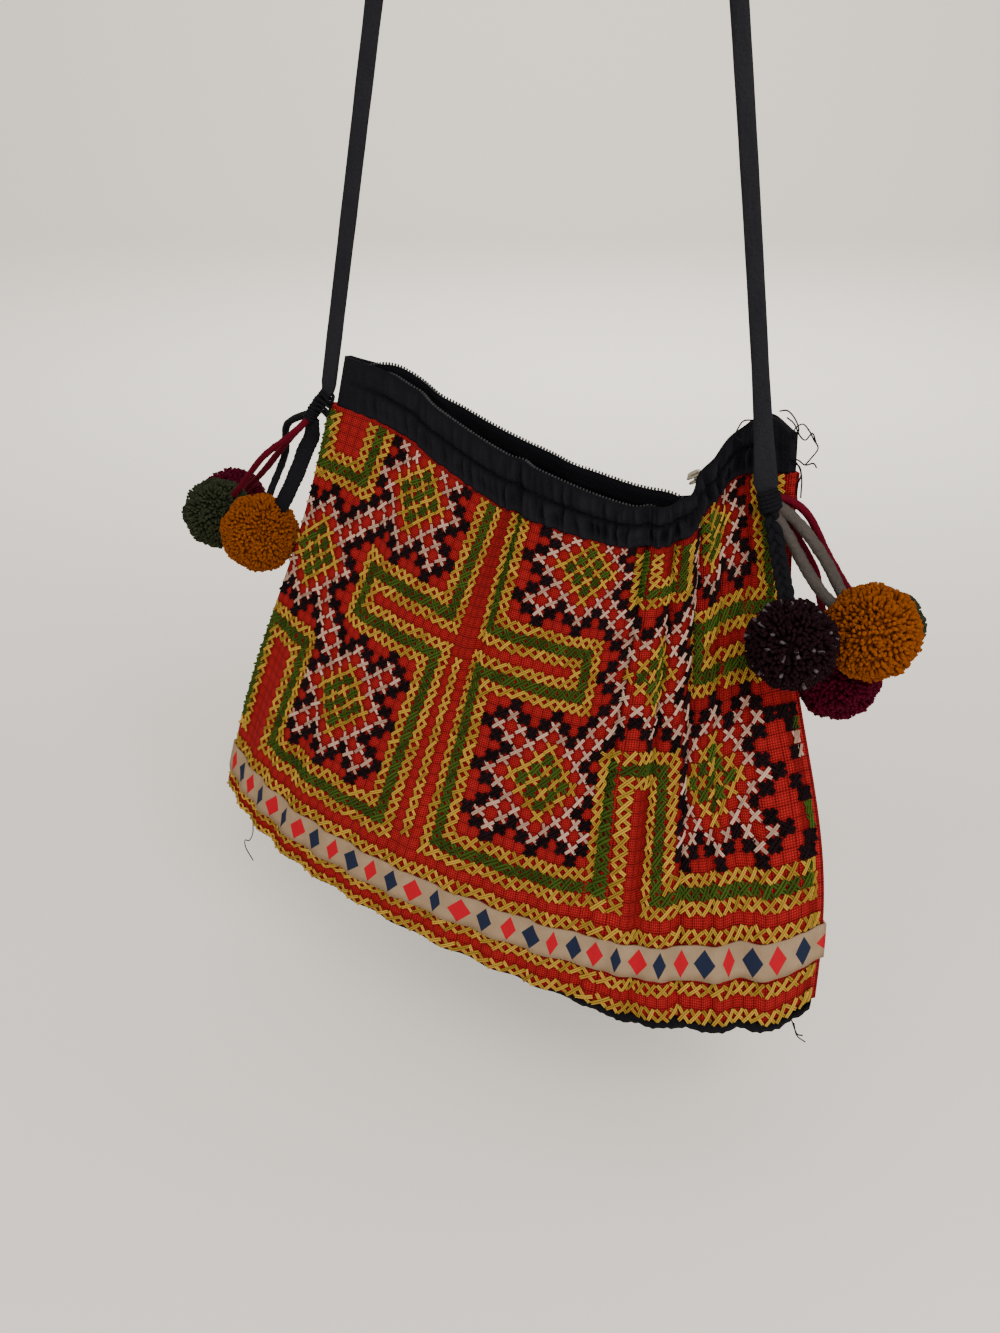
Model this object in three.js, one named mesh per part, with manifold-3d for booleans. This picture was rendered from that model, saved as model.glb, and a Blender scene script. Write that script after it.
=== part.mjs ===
// Embroidered crossbody pouch of pleated skirt cloth, hanging by its strap.
// Millimetres, +Z up, front towards -Y. The origin is where the strap hangs on a hook.
import * as THREE from 'three';
import Module from 'manifold-3d';

const wasm = await Module();
wasm.setup();
const { Manifold, Mesh: SolidMesh } = wasm;

// Main sizes
const hangDrop = 460;         // hang point down to the level of the mouth's two ends
const clothWall = 2;          // embroidered cloth with its backing
const bandWall = 2;           // folded black cotton round the mouth
const pieceGap = 0.3;         // air between neighbouring pieces
const seamRound = 2;          // how far the rounded seam stands past the last section
const belly = 3;              // outward swell half way down the front
const swayLeft = 2.5;         // the sides draw in under the band and flare above the hem
const swayRight = 5;
const swayReach = 10;         // cells from the seam over which that fades
const ribbonTop = 0.84;      // woven ribbon, as parts of the way from band to hem
const ribbonFoot = 0.91;
const ribbonThick = 0.8;
const ribbonLift = 0.6;       // air under the ribbon, sewn on along its edges only
const ribbonSag = 0.043;      // it sits lower towards the left
const sagFrom = 22;           // in cells
const sagTo = -18;
const baseThick = 1.6;
const frontSteps = 60;
const backSteps = 30;         // half as many, so that every column has one across from it

// Sections across the bag from the left seam to the right one. s counts embroidery cells along
// the cloth, top* is the cloth's upper edge, hem* its lower edge, mouth and depth are the bag's
// thickness there, and band is the height of the black band above it.
const sectionColumns = ['s', 'topX', 'topY', 'topZ', 'mouth', 'band', 'hemX', 'hemY', 'hemZ', 'depth'];
const sectionRows = [
  [-24, -109, -2.2, -3, 4.4, 22, -157, -50, -198, 4.4],
  [-18, -77, -6, -7, 13, 21, -137, -60, -206, 28],
  [-11, -48, -12, -17, 18, 20, -106, -70, -213, 54],
  [-4, -23, -16, -27, 21, 21, -66, -77, -217, 72],
  [2, -3, -18, -33, 23, 21, -30, -82, -219, 82],
  [11, 33, -20, -37, 24, 17, 27, -86, -219, 90],
  [18, 55, -20, -36, 23, 15, 62, -86, -219, 90],
  [24, 70, -13, -31, 18, 15, 90, -84, -219, 86],
  [28, 76, -4, -19, 13, 16, 107, -78, -218, 76],
  [31, 81, 0, -10, 11, 18, 121, -73, -217, 65],
  [36, 94, 0, -4, 8, 20, 141, -63, -214, 39],
  [39, 105, -2.2, -3, 4.4, 15, 150, -50, -209, 4.4],
];

// Pleats in the cloth: place and half width in cells, depth in mm at the band and at the hem.
const pleatColumns = ['s', 'half', 'atBand', 'atHem'];
const frontPleats = [
  [-14.5, 1.2, 1.6, 0.8],
  [1.4, 1.1, 2.6, 0.8],
  [17.6, 1.3, 3.6, 1.2],
  [22.6, 1.2, 3.0, 1.6],
  [26.6, 1.2, 2.6, 1.8],
  [32.4, 1.3, 2.0, 1.6],
];
const backPleats = [
  [-12, 1.8, 1.6, 1.2],
  [6, 1.8, 1.8, 1.4],
  [23, 1.8, 1.6, 1.6],
];
const rippleHeight = 0.9;     // soft waves of the gathered cloth at the hem
const ripplePeriod = 4.2;     // in cells, two diamonds of the ribbon

const asRows = (columns, rows) =>
  rows.map((row) => Object.fromEntries(columns.map((column, k) => [column, row[k]])));
const sections = asRows(sectionColumns, sectionRows);
const pleatsFront = asRows(pleatColumns, frontPleats);
const pleatsBack = asRows(pleatColumns, backPleats);
const leftEnd = sections[0].s;
const rightEnd = sections[sections.length - 1].s;

// A smooth curve through one column of the sections.
function along(column, s) {
  const last = sections.length - 1;
  let i = 0;
  while (i < last - 1 && s > sections[i + 1].s) i += 1;
  const at = (k) => sections[Math.min(Math.max(k, 0), last)];
  const slope = (k) => {
    const a = at(k - 1);
    const b = at(k + 1);
    return (b[column] - a[column]) / (b.s - a.s);
  };
  const span = at(i + 1).s - at(i).s;
  const f = (s - at(i).s) / span;
  const f2 = f * f;
  const f3 = f2 * f;
  return (2 * f3 - 3 * f2 + 1) * at(i)[column] + (f3 - 2 * f2 + f) * span * slope(i)
    + (3 * f2 - 2 * f3) * at(i + 1)[column] + (f3 - f2) * span * slope(i + 1);
}

function foldOf(pleats, s, v) {
  const ends = Math.min(1, (s - leftEnd) / 4, (rightEnd - s) / 4);
  let out = rippleHeight * v * Math.sin((2 * Math.PI * s) / ripplePeriod);
  for (const p of pleats) {
    const deep = p.atBand + (p.atHem - p.atBand) * v;
    out -= deep * Math.exp(-(((s - p.s) / p.half) ** 2));
  }
  return out * Math.max(0, ends);
}

// The plain wall without folds. side is -1 for the front and +1 for the back.
function plainWall(side, s, v) {
  const thick = side > 0;
  const topY = along('topY', s) + (thick ? along('mouth', s) : 0);
  const hemY = along('hemY', s) + (thick ? along('depth', s) : 0);
  const ends = Math.min(1, (s - leftEnd) / 8, (rightEnd - s) / 8);
  const swell = side < 0 ? belly * 4 * v * (1 - v) * Math.max(0, ends) : 0;
  const near = (gap) => Math.max(0, 1 - gap / swayReach) ** 2;
  const sway = swayLeft * near(s - leftEnd) - swayRight * near(rightEnd - s);
  return new THREE.Vector3(
    along('topX', s) + (along('hemX', s) - along('topX', s)) * v + sway * Math.sin(2 * Math.PI * v),
    topY + (hemY - topY) * v - swell,
    along('topZ', s) + (along('hemZ', s) - along('topZ', s)) * v,
  );
}

// Level direction out of the wall.
function outOf(side, s, v) {
  const step = 0.5;
  const a = plainWall(side, Math.max(leftEnd, s - step), v);
  const b = plainWall(side, Math.min(rightEnd, s + step), v);
  const out = new THREE.Vector3(b.y - a.y, a.x - b.x, 0);
  return out.multiplyScalar(-side / out.length());
}

function wallPoint(side, s, v, off = 0) {
  const fold = foldOf(side < 0 ? pleatsFront : pleatsBack, s, v);
  return plainWall(side, s, v).addScaledVector(outOf(side, s, v), fold + off);
}

// The rounded seam at an end of the bag: outer and inner point on the seam's own plane.
function seamPoint(end, v, off = 0) {
  const s = end < 0 ? leftEnd : rightEnd;
  const front = plainWall(-1, s, v);
  const back = plainWall(1, s, v);
  return new THREE.Vector3(front.x + end * (seamRound + off), (front.y + back.y) / 2, front.z);
}

// Closed solid between an outer and an inner grid of points. Columns may close into a ring.
function sheetSolid(outer, inner, ring = false) {
  const cols = outer.length;
  const rows = outer[0].length;
  const places = [];
  const put = (grid) => grid.forEach((col) => col.forEach((p) => places.push(p.x, p.y, p.z)));
  put(outer);
  put(inner);
  const id = (layer, c, r) => layer * cols * rows + (c % cols) * rows + r;
  const faces = [];
  const quad = (a, b, c, d) => faces.push(a, b, c, a, c, d);
  const spans = ring ? cols : cols - 1;
  for (let c = 0; c < spans; c += 1) {
    for (let r = 0; r < rows - 1; r += 1) {
      quad(id(0, c, r), id(0, c, r + 1), id(0, c + 1, r + 1), id(0, c + 1, r));
      quad(id(1, c, r), id(1, c + 1, r), id(1, c + 1, r + 1), id(1, c, r + 1));
    }
    quad(id(0, c, 0), id(0, c + 1, 0), id(1, c + 1, 0), id(1, c, 0));
    quad(id(0, c, rows - 1), id(1, c, rows - 1), id(1, c + 1, rows - 1), id(0, c + 1, rows - 1));
  }
  if (!ring) {
    const end = cols - 1;
    for (let r = 0; r < rows - 1; r += 1) {
      quad(id(0, 0, r), id(1, 0, r), id(1, 0, r + 1), id(0, 0, r + 1));
      quad(id(0, end, r), id(0, end, r + 1), id(1, end, r + 1), id(1, end, r));
    }
  }
  const geometry = new THREE.BufferGeometry();
  geometry.setAttribute('position', new THREE.Float32BufferAttribute(places, 3));
  geometry.setIndex(faces);
  return geometry;
}

const steps = (count, from, to) =>
  Array.from({ length: count + 1 }, (_, k) => from + ((to - from) * k) / count);

// One cloth panel from seam to seam. The walk runs so that its outer face looks outwards.
function panel(side, columns, rows) {
  const across = steps(columns, leftEnd, rightEnd);
  const down = steps(rows, 0, 1);
  const half = (side * pieceGap) / 2;
  const outer = [];
  const inner = [];
  const seam = (end) => {
    outer.push(down.map((v) => seamPoint(end, v).add(new THREE.Vector3(0, half, 0))));
    inner.push(down.map((v) => seamPoint(end, v, -seamRound).add(new THREE.Vector3(0, half, 0))));
  };
  seam(-1);
  for (const s of across) {
    outer.push(down.map((v) => wallPoint(side, s, v)));
    inner.push(down.map((v) => wallPoint(side, s, v, -clothWall)));
  }
  seam(1);
  if (side > 0) {
    outer.reverse();
    inner.reverse();
  }
  return sheetSolid(outer, inner);
}

// A ring round the whole bag. pick(side, s) and tip(end) give the column of points at a place.
function ringSolid(pickOuter, tipOuter, pickInner, tipInner) {
  const walk = (pick, tip) => [
    ...steps(frontSteps, leftEnd, rightEnd).map((s) => pick(-1, s)),
    tip(1),
    ...steps(backSteps, rightEnd, leftEnd).map((s) => pick(1, s)),
    tip(-1),
  ];
  return sheetSolid(walk(pickOuter, tipOuter), walk(pickInner, tipInner), true);
}

// Woven ribbon sewn round the hem, on the outside of both panels.
const ribbonRows = steps(1, ribbonTop, ribbonFoot);
const sagAt = (s) => ribbonSag * Math.min(1, Math.max(0, (s - sagFrom) / (sagTo - sagFrom)));
const ribbonAt = (off) => [
  (side, s) => ribbonRows.map((v) => wallPoint(side, s, v + sagAt(s), off)),
  (end) => ribbonRows.map((v) => seamPoint(end, v + sagAt(end < 0 ? leftEnd : rightEnd), off)),
];
const hemRibbon = ringSolid(
  ...ribbonAt(ribbonLift + ribbonThick),
  ...ribbonAt(ribbonLift),
);

// Black band round the mouth. Its ends stand in from the cloth's corners, by so much at the foot
// and by so much more at the rim. The right end is nearly upright.
const bandLeft = { inward: 4, lean: 6 };
const bandRight = { inward: 1.5, lean: 1 };
const bandRise = [0, 0.5, 1];
const rimLean = 1.2;
const channelPuff = 0.8;      // the two sewn channels swell a little
function bandPoint(side, s, rise, off = 0) {
  const wall = wallPoint(side, s, 0);
  const out = outOf(side, s, 0);
  const middle = (leftEnd + rightEnd) / 2;
  const far = ((s - middle) / (rightEnd - middle)) ** 5;
  const end = far < 0 ? bandLeft : bandRight;
  wall.x -= far * (end.inward + end.lean * rise);
  wall.z += pieceGap + along('band', s) * rise;
  const nearEnd = Math.max(0, Math.min(1, (s - leftEnd) / 5, (rightEnd - s) / 5));
  const puff = channelPuff * Math.sin(Math.PI * rise) - rimLean * rise;
  return wall.addScaledVector(out, off + puff * nearEnd);
}
function bandTip(end, rise, off = 0) {
  const s = end < 0 ? leftEnd : rightEnd;
  const a = bandPoint(-1, s, rise);
  const b = bandPoint(1, s, rise);
  return new THREE.Vector3(a.x + end * (seamRound + off), (a.y + b.y) / 2, a.z);
}
const bandDown = [...bandRise].reverse();
const topBand = ringSolid(
  (side, s) => bandDown.map((r) => bandPoint(side, s, r)),
  (end) => bandDown.map((r) => bandTip(end, r)),
  (side, s) => bandDown.map((r) => bandPoint(side, s, r, -bandWall)),
  (end) => bandDown.map((r) => bandTip(end, r, -seamRound)),
);

// Zip: a tape inside the band's rim with the row of teeth as a bead along its edge.
const zipFirst = 2;           // in columns of the band's back, from its left end
const zipLast = 20;
const tapeInside = bandWall + 3.5 * pieceGap;
const zipFrontLower = 4.5;    // the front half hangs lower inside its rim than the back one
const zipBackLower = 1;
// Section of a zip side: distance in from the band's outer face, height from the rim.
const zipSection = [
  [tapeInside + 0.7, 2.6],
  [tapeInside + 0.7, -6],
  [tapeInside, -6],
  [tapeInside, 4.4],
  [tapeInside + 0.6, 5],
  [tapeInside + 1.3, 4.4],
  [tapeInside + 1.3, 3],
];
function zipSide(side) {
  const ringOf = (s) => zipSection.map(([inward, height]) => {
    const p = bandPoint(side, s, 1, -inward);
    p.z += height - (side > 0 ? zipBackLower : zipFrontLower);
    return p;
  });
  const places = steps(backSteps, leftEnd, rightEnd).slice(zipFirst, zipLast + 1);
  return loft(places.map(ringOf));
}

// Closed loft through rings of points, with a flat fan from each ring's first point at the ends.
function loft(rings) {
  const sides = rings[0].length;
  const places = [];
  rings.forEach((ring) => ring.forEach((p) => places.push(p.x, p.y, p.z)));
  const faces = [];
  for (let k = 0; k < rings.length - 1; k += 1) {
    for (let i = 0; i < sides; i += 1) {
      const a = k * sides + i;
      const b = k * sides + ((i + 1) % sides);
      faces.push(a, b, b + sides, a, b + sides, a + sides);
    }
  }
  const last = (rings.length - 1) * sides;
  for (let i = 1; i < sides - 1; i += 1) {
    faces.push(0, i + 1, i);
    faces.push(last, last + i, last + i + 1);
  }
  // A section drawn the other way round gives faces that look inwards, so those are turned.
  const point = (i) => new THREE.Vector3().fromArray(places, 3 * i);
  let volume = 0;
  for (let i = 0; i < faces.length; i += 3) {
    volume += point(faces[i]).dot(point(faces[i + 1]).cross(point(faces[i + 2])));
  }
  if (volume < 0) faces.reverse();
  const geometry = new THREE.BufferGeometry();
  geometry.setAttribute('position', new THREE.Float32BufferAttribute(places, 3));
  geometry.setIndex(faces);
  return geometry;
}

// Base under both panels. Its black edge shows below the hem towards the right.
const baseSteps = 30;
const baseRows = 4;
const peekRight = 1.4;
const peekFrom = 14;          // cell where the black edge starts to show
function basePanel() {
  const grid = (drop) => steps(baseSteps, leftEnd, rightEnd).map((s) => {
    const peek = 0.2 + peekRight * Math.min(1, Math.max(0, (s - peekFrom) / 8));
    const front = wallPoint(-1, s, 1, peek);
    const back = wallPoint(1, s, 1, 0.2);
    return steps(baseRows, 0, 1).map((f) => {
      const p = front.clone().lerp(back, f);
      p.z -= 2 * pieceGap + drop;
      return p;
    });
  });
  return sheetSolid(grid(baseThick), grid(0));
}

// Strap: a flat fabric tube, one loop from tie to tie over the hang point.
const strapWide = 7.8;
const strapThick = 3;
const hookRound = 8;
const strapFootLeft = new THREE.Vector3(-111.5, 0, 3);
const strapFootRight = new THREE.Vector3(97.2, -10.8, -5);
const strapBow = 2;           // the right side sags outwards by this much in its middle
const twistFrom = 200;        // the strap turns to lie flat over the hook above this
const twistTo = 385;
function strapLoop() {
  const top = hangDrop - hookRound;
  const reach = hookRound + strapThick / 2;
  const path = [];
  const climb = (foot, end) => steps(16, 0, 1).map((f) => new THREE.Vector3(
    foot.x + (end * reach - foot.x) * f + (end > 0 ? strapBow * 4 * f * (1 - f) : 0),
    foot.y * (1 - f) ** 2,
    foot.z + (top - foot.z) * f,
  ));
  path.push(...climb(strapFootLeft, -1));
  for (const turn of steps(8, 0, 1).slice(1, -1)) {
    const a = Math.PI * (1 - turn);
    path.push(new THREE.Vector3(reach * Math.cos(a), 0, top + reach * Math.sin(a)));
  }
  path.push(...climb(strapFootRight, 1).reverse());
  const rings = path.map((p, k) => {
    const before = path[Math.max(0, k - 1)];
    const after = path[Math.min(path.length - 1, k + 1)];
    const run = after.clone().sub(before).normalize();
    const f = Math.min(1, Math.max(0, (p.z - twistFrom) / (twistTo - twistFrom)));
    const turn = (Math.PI / 2) * f * f * (3 - 2 * f);
    const level = run.z >= 0 ? 1 : -1;
    const side = k < path.length / 2 ? 1 : level;
    const wide = new THREE.Vector3(side * Math.cos(turn), Math.sin(turn), 0);
    wide.addScaledVector(run, -wide.dot(run)).normalize();
    const flat = new THREE.Vector3().crossVectors(run, wide);
    return steps(8, 0, 2 * Math.PI).slice(0, -1).map((a) => p.clone()
      .addScaledVector(wide, (strapWide / 2) * Math.cos(a + Math.PI / 8))
      .addScaledVector(flat, (strapThick / 2) * Math.sin(a + Math.PI / 8)));
  });
  return loft(rings);
}

// A cord as a tube along a smooth route.
function cord(points, radius, sides = 8, count = 10) {
  const route = new THREE.CatmullRomCurve3(points.map((p) => new THREE.Vector3(...p)));
  const ring = steps(sides, 0, 2 * Math.PI).slice(0, -1)
    .map((a) => new THREE.Vector2(radius * Math.cos(a), radius * Math.sin(a)));
  return new THREE.ExtrudeGeometry(new THREE.Shape(ring), {
    steps: count, extrudePath: route, bevelEnabled: false,
  });
}

// Pompom: blunt locks of yarn standing out of a round head, all one surface.
const lockCount = 26;
const lockSpread = 0.46;      // half angle of a lock seen from the middle
const headShare = 0.86;       // head radius to pompom radius
function solidOf(geometry) {
  const keyed = new Map();
  const place = geometry.getAttribute('position');
  const verts = [];
  const idOf = (i) => {
    const key = [place.getX(i), place.getY(i), place.getZ(i)].map((x) => x.toFixed(4)).join();
    if (!keyed.has(key)) {
      keyed.set(key, verts.length / 3);
      verts.push(place.getX(i), place.getY(i), place.getZ(i));
    }
    return keyed.get(key);
  };
  const count = place.count;
  const index = geometry.index ? Array.from(geometry.index.array) : [...Array(count).keys()];
  const tris = index.map(idOf);
  const kept = [];
  for (let i = 0; i < tris.length; i += 3) {
    const [a, b, c] = tris.slice(i, i + 3);
    if (a !== b && b !== c && a !== c) kept.push(a, b, c);
  }
  return new Manifold(new SolidMesh({
    numProp: 3,
    vertProperties: new Float32Array(verts),
    triVerts: new Uint32Array(kept),
  }));
}
function geometryOf(solid) {
  const mesh = solid.getMesh();
  const geometry = new THREE.BufferGeometry();
  geometry.setAttribute('position', new THREE.Float32BufferAttribute(mesh.vertProperties, 3));
  geometry.setIndex(Array.from(mesh.triVerts));
  return geometry;
}
function pompom(centre, radius, turn) {
  const locks = steps(lockCount - 1, 0, lockCount - 1).map((k) => {
    const z = 1 - (2 * (k + 0.5)) / lockCount;
    const a = turn + k * Math.PI * (3 - Math.sqrt(5));
    const level = Math.sqrt(1 - z * z);
    return new THREE.Vector3(level * Math.cos(a), level * Math.sin(a), z);
  });
  const geometry = new THREE.IcosahedronGeometry(1, 3);
  const place = geometry.getAttribute('position');
  for (let i = 0; i < place.count; i += 1) {
    const out = new THREE.Vector3().fromBufferAttribute(place, i);
    const near = Math.min(...locks.map((lock) => lock.angleTo(out)));
    const lump = Math.max(0, 1 - (near / lockSpread) ** 2);
    out.multiplyScalar(radius * (headShare + (1 - headShare) * lump));
    place.setXYZ(i, out.x, out.y, out.z);
  }
  geometry.translate(...centre);
  return geometry;
}

// Ties: thread wound round the strap's ends, as thick bound lengths.
function boundTie(route, widths) {
  const curve = new THREE.CatmullRomCurve3(route.map((p) => new THREE.Vector3(...p)));
  const count = 10;
  const rings = steps(count, 0, 1).map((f) => {
    const p = curve.getPoint(f);
    const run = curve.getTangent(f);
    const side = new THREE.Vector3(0, 1, 0).cross(run).normalize();
    const other = new THREE.Vector3().crossVectors(run, side);
    const at = f * (widths.length - 1);
    const k = Math.min(widths.length - 2, Math.floor(at));
    const wave = 1 + 0.06 * Math.cos(f * Math.PI * 10);
    const r = (widths[k] + (widths[k + 1] - widths[k]) * (at - k)) * wave;
    return steps(10, 0, 2 * Math.PI).slice(0, -1).map((a) => p.clone()
      .addScaledVector(side, r * Math.cos(a)).addScaledVector(other, r * Math.sin(a)));
  });
  return loft(rings);
}

// Hanging things, in the bag's own height: routes run from the tie to just outside the pompom.
const crimsonThick = 3.2;
const greyThick = 4.6;
const blackThick = 3.6;
const braidThick = 6.6;
const tailThick = 5.2;
const pompoms = {
  pompom_left_green: { centre: [-185, -2, -69], radius: 16.5, turn: 0.2 },
  pompom_left_mustard: { centre: [-143.5, -20, -66], radius: 17.5, turn: 1.1 },
  pompom_left_maroon: { centre: [-202.5, 30, -76], radius: 17, turn: 2.3 },
  pompom_right_plum: { centre: [122, -45, -52.5], radius: 15.7, turn: 0.7 },
  pompom_right_mustard: { centre: [145.5, -20, -53], radius: 17, turn: 1.9 },
  pompom_right_maroon: { centre: [133, -4, -83], radius: 15.8, turn: 2.8 },
  pompom_right_green: { centre: [142.5, 25, -71.5], radius: 16.4, turn: 3.6 },
};
const cordColumns = ['thick', 'start', 'bend', 'drop', 'end'];
const cordRows = {
  left_crimson_cord_a: [crimsonThick,
    [-124.5, -6, -14.5], [-133, -7, -21.5], [-150, -5, -33.5], [-167, -3, -51]],
  left_crimson_cord_b: [crimsonThick,
    [-125, -1, -13.5], [-142.5, 5, -27.5], [-163, 12, -46], [-188, 21, -66]],
  left_black_cord: [blackThick,
    [-125, 4, -10.5], [-149, 15, -22], [-151, 13.5, -37], [-144, -8, -48]],
  left_black_tail: [tailThick,
    [-122, -1, -19.5], [-125, -3.5, -27], [-127, -8, -36], [-131, -15, -49]],
  right_braid: [braidThick,
    [102.6, -14, -20], [105.8, -18, -26], [110.2, -25.5, -32], [116.5, -37.5, -38.5]],
  right_grey_cord_a: [greyThick,
    [109.5, -13.5, -24.5], [116.5, -14.5, -34], [124, -17, -41.5], [130.5, -19, -45.5]],
  right_grey_cord_b: [greyThick,
    [108, -10.5, -16.5], [115, -11.3, -22], [124, -12, -32], [132, -15, -42]],
  right_crimson_cord_a: [crimsonThick,
    [109, -7.5, -24], [114.5, -5.5, -32], [120, -4, -43], [126.5, -4, -67]],
  right_crimson_cord_b: [crimsonThick,
    [106.5, -7, -12], [114, -5, -18], [122.5, 2, -36], [131, 18, -57]],
};
const ties = {
  left_tie: {
    route: [[-112.8, 0, 1.2], [-115.5, -1, -2.5], [-118.5, -2.5, -7], [-121, -4, -11.5]],
    widths: [2.8, 3.3, 3.3, 3.2],
  },
  right_tie: {
    route: [[98.2, -11, -8.4], [99.6, -11.4, -12], [101.2, -12, -15.8]],
    widths: [4.4, 4.9, 4.4],
  },
};

// Zip slider: a small metal body astride the teeth, its pull folded on top as one piece.
const sliderSize = { long: 6.6, across: 4.8, tall: 3, round: 1.2 };
const sliderLift = 5;
const sliderAt = 23.2;
const sliderBack = 2.8;       // nearer to the back rim, where the mouth bends
function zipSlider() {
  const { long, across, tall, round } = sliderSize;
  const face = new THREE.Shape();
  const h = long / 2;
  const w = across / 2;
  face.moveTo(-h + round, -w * 0.6);
  face.lineTo(h - round, -w);
  face.lineTo(h, -w + round);
  face.lineTo(h, w - round);
  face.lineTo(h - round, w);
  face.lineTo(-h + round, w * 0.6);
  face.lineTo(-h, 0);
  const body = new THREE.ExtrudeGeometry(face, { depth: tall, bevelEnabled: false });
  const bridge = new THREE.BoxGeometry(long * 0.7, 2, 2).translate(0.4, 0, tall + 0.6);
  const geometry = geometryOf(solidOf(body).add(solidOf(bridge)));
  const between = (s) => bandPoint(-1, s, 1).add(bandPoint(1, s, 1)).multiplyScalar(0.5);
  const middle = between(sliderAt);
  const ahead = between(sliderAt + 1).sub(between(sliderAt - 1));
  geometry.rotateY(-Math.atan2(ahead.z, Math.hypot(ahead.x, ahead.y)));
  geometry.rotateZ(Math.atan2(ahead.y, ahead.x));
  geometry.translate(middle.x, middle.y + sliderBack, middle.z + sliderLift);
  return geometry;
}

const finishes = {
  cloth: { color: 0xc23a1c, roughness: 0.95 },
  black: { color: 0x17171b, roughness: 0.9 },
  ribbon: { color: 0xd9cdb4, roughness: 0.85 },
  zip: { color: 0x2a2a2e, roughness: 0.6 },
  metal: { color: 0xb9b09a, roughness: 0.35, metalness: 1 },
  crimson: { color: 0xa01438, roughness: 0.9 },
  grey: { color: 0x77736c, roughness: 0.9 },
  green: { color: 0x3a4326, roughness: 1 },
  mustard: { color: 0xc07a12, roughness: 1 },
  maroon: { color: 0x6d1034, roughness: 1 },
  plum: { color: 0x2b1420, roughness: 1 },
};

const bag = new THREE.Group();
bag.name = 'embroidered_crossbody_bag';
function place(name, geometry, finish) {
  geometry.translate(0, 0, -hangDrop);
  const mesh = new THREE.Mesh(geometry, new THREE.MeshStandardMaterial(finishes[finish]));
  mesh.name = name;
  bag.add(mesh);
}

place('front_panel', panel(-1, frontSteps, 9), 'cloth');
place('back_panel', panel(1, backSteps, 7), 'cloth');
place('base_panel', basePanel(), 'black');
place('hem_ribbon', hemRibbon, 'ribbon');
place('top_band', topBand, 'black');
place('zip_front', zipSide(-1), 'zip');
place('zip_back', zipSide(1), 'zip');
place('zip_slider', zipSlider(), 'metal');
place('strap', strapLoop(), 'black');
for (const [name, tie] of Object.entries(ties)) place(name, boundTie(tie.route, tie.widths), 'black');
for (const [name, row] of Object.entries(cordRows)) {
  const [one] = asRows(cordColumns, [row]);
  const finish = ['crimson', 'grey'].find((word) => name.includes(word)) || 'black';
  place(name, cord([one.start, one.bend, one.drop, one.end], one.thick / 2), finish);
}
for (const [name, one] of Object.entries(pompoms)) {
  const finish = name.split('_').pop();
  place(name, pompom(one.centre, one.radius, one.turn), finish);
}

export default bag;
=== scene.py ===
import math
import bpy
import numpy as np
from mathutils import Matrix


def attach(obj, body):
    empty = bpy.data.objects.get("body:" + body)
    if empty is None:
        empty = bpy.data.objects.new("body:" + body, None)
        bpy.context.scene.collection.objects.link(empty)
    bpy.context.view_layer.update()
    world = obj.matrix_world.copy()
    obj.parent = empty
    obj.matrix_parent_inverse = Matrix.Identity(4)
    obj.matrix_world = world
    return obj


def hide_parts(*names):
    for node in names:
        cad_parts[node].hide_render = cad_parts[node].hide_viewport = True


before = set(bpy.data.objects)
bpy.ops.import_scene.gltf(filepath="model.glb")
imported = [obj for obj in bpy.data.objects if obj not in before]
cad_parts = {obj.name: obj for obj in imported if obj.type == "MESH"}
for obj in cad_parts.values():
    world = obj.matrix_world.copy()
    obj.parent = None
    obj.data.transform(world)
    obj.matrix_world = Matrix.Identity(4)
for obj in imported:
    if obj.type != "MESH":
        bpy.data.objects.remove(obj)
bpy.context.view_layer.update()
mm = 0.001
weaveSize = 4  # of the cotton pieces' cells

# The bag's form, as in the part's source: sections from the left seam to the right one.
# s counts embroidery cells along the cloth, v runs from the band (0) to the hem (1), lengths are in mm.
form = {
    "hangDrop": 460, "clothWall": 2, "bandWall": 2, "gap": 0.3, "seamRound": 2, "belly": 3, "bellyReach": 8,
    "foldReach": 4, "swayLeft": 2.5, "swayRight": 5, "swayReach": 10, "rippleHeight": 0.9,
    "ripplePeriod": 4.2, "ribbonTop": 0.84, "ribbonFoot": 0.91, "ribbonLift": 0.6, "ribbonThick": 0.8,
    "ribbonSag": 0.043, "sagFrom": 22, "sagTo": -18,
}
sectionColumns = ("s", "topX", "topY", "topZ", "mouth", "band", "hemX", "hemY", "hemZ", "depth")
sectionRows = [
    (-24, -109, -2.2, -3, 4.4, 22, -157, -50, -198, 4.4),
    (-18, -77, -6, -7, 13, 21, -137, -60, -206, 28),
    (-11, -48, -12, -17, 18, 20, -106, -70, -213, 54),
    (-4, -23, -16, -27, 21, 21, -66, -77, -217, 72),
    (2, -3, -18, -33, 23, 21, -30, -82, -219, 82),
    (11, 33, -20, -37, 24, 17, 27, -86, -219, 90),
    (18, 55, -20, -36, 23, 15, 62, -86, -219, 90),
    (24, 70, -13, -31, 18, 15, 90, -84, -219, 86),
    (28, 76, -4, -19, 13, 16, 107, -78, -218, 76),
    (31, 81, 0, -10, 11, 18, 121, -73, -217, 65),
    (36, 94, 0, -4, 8, 20, 141, -63, -214, 39),
    (39, 105, -2.2, -3, 4.4, 15, 150, -50, -209, 4.4),
]
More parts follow.
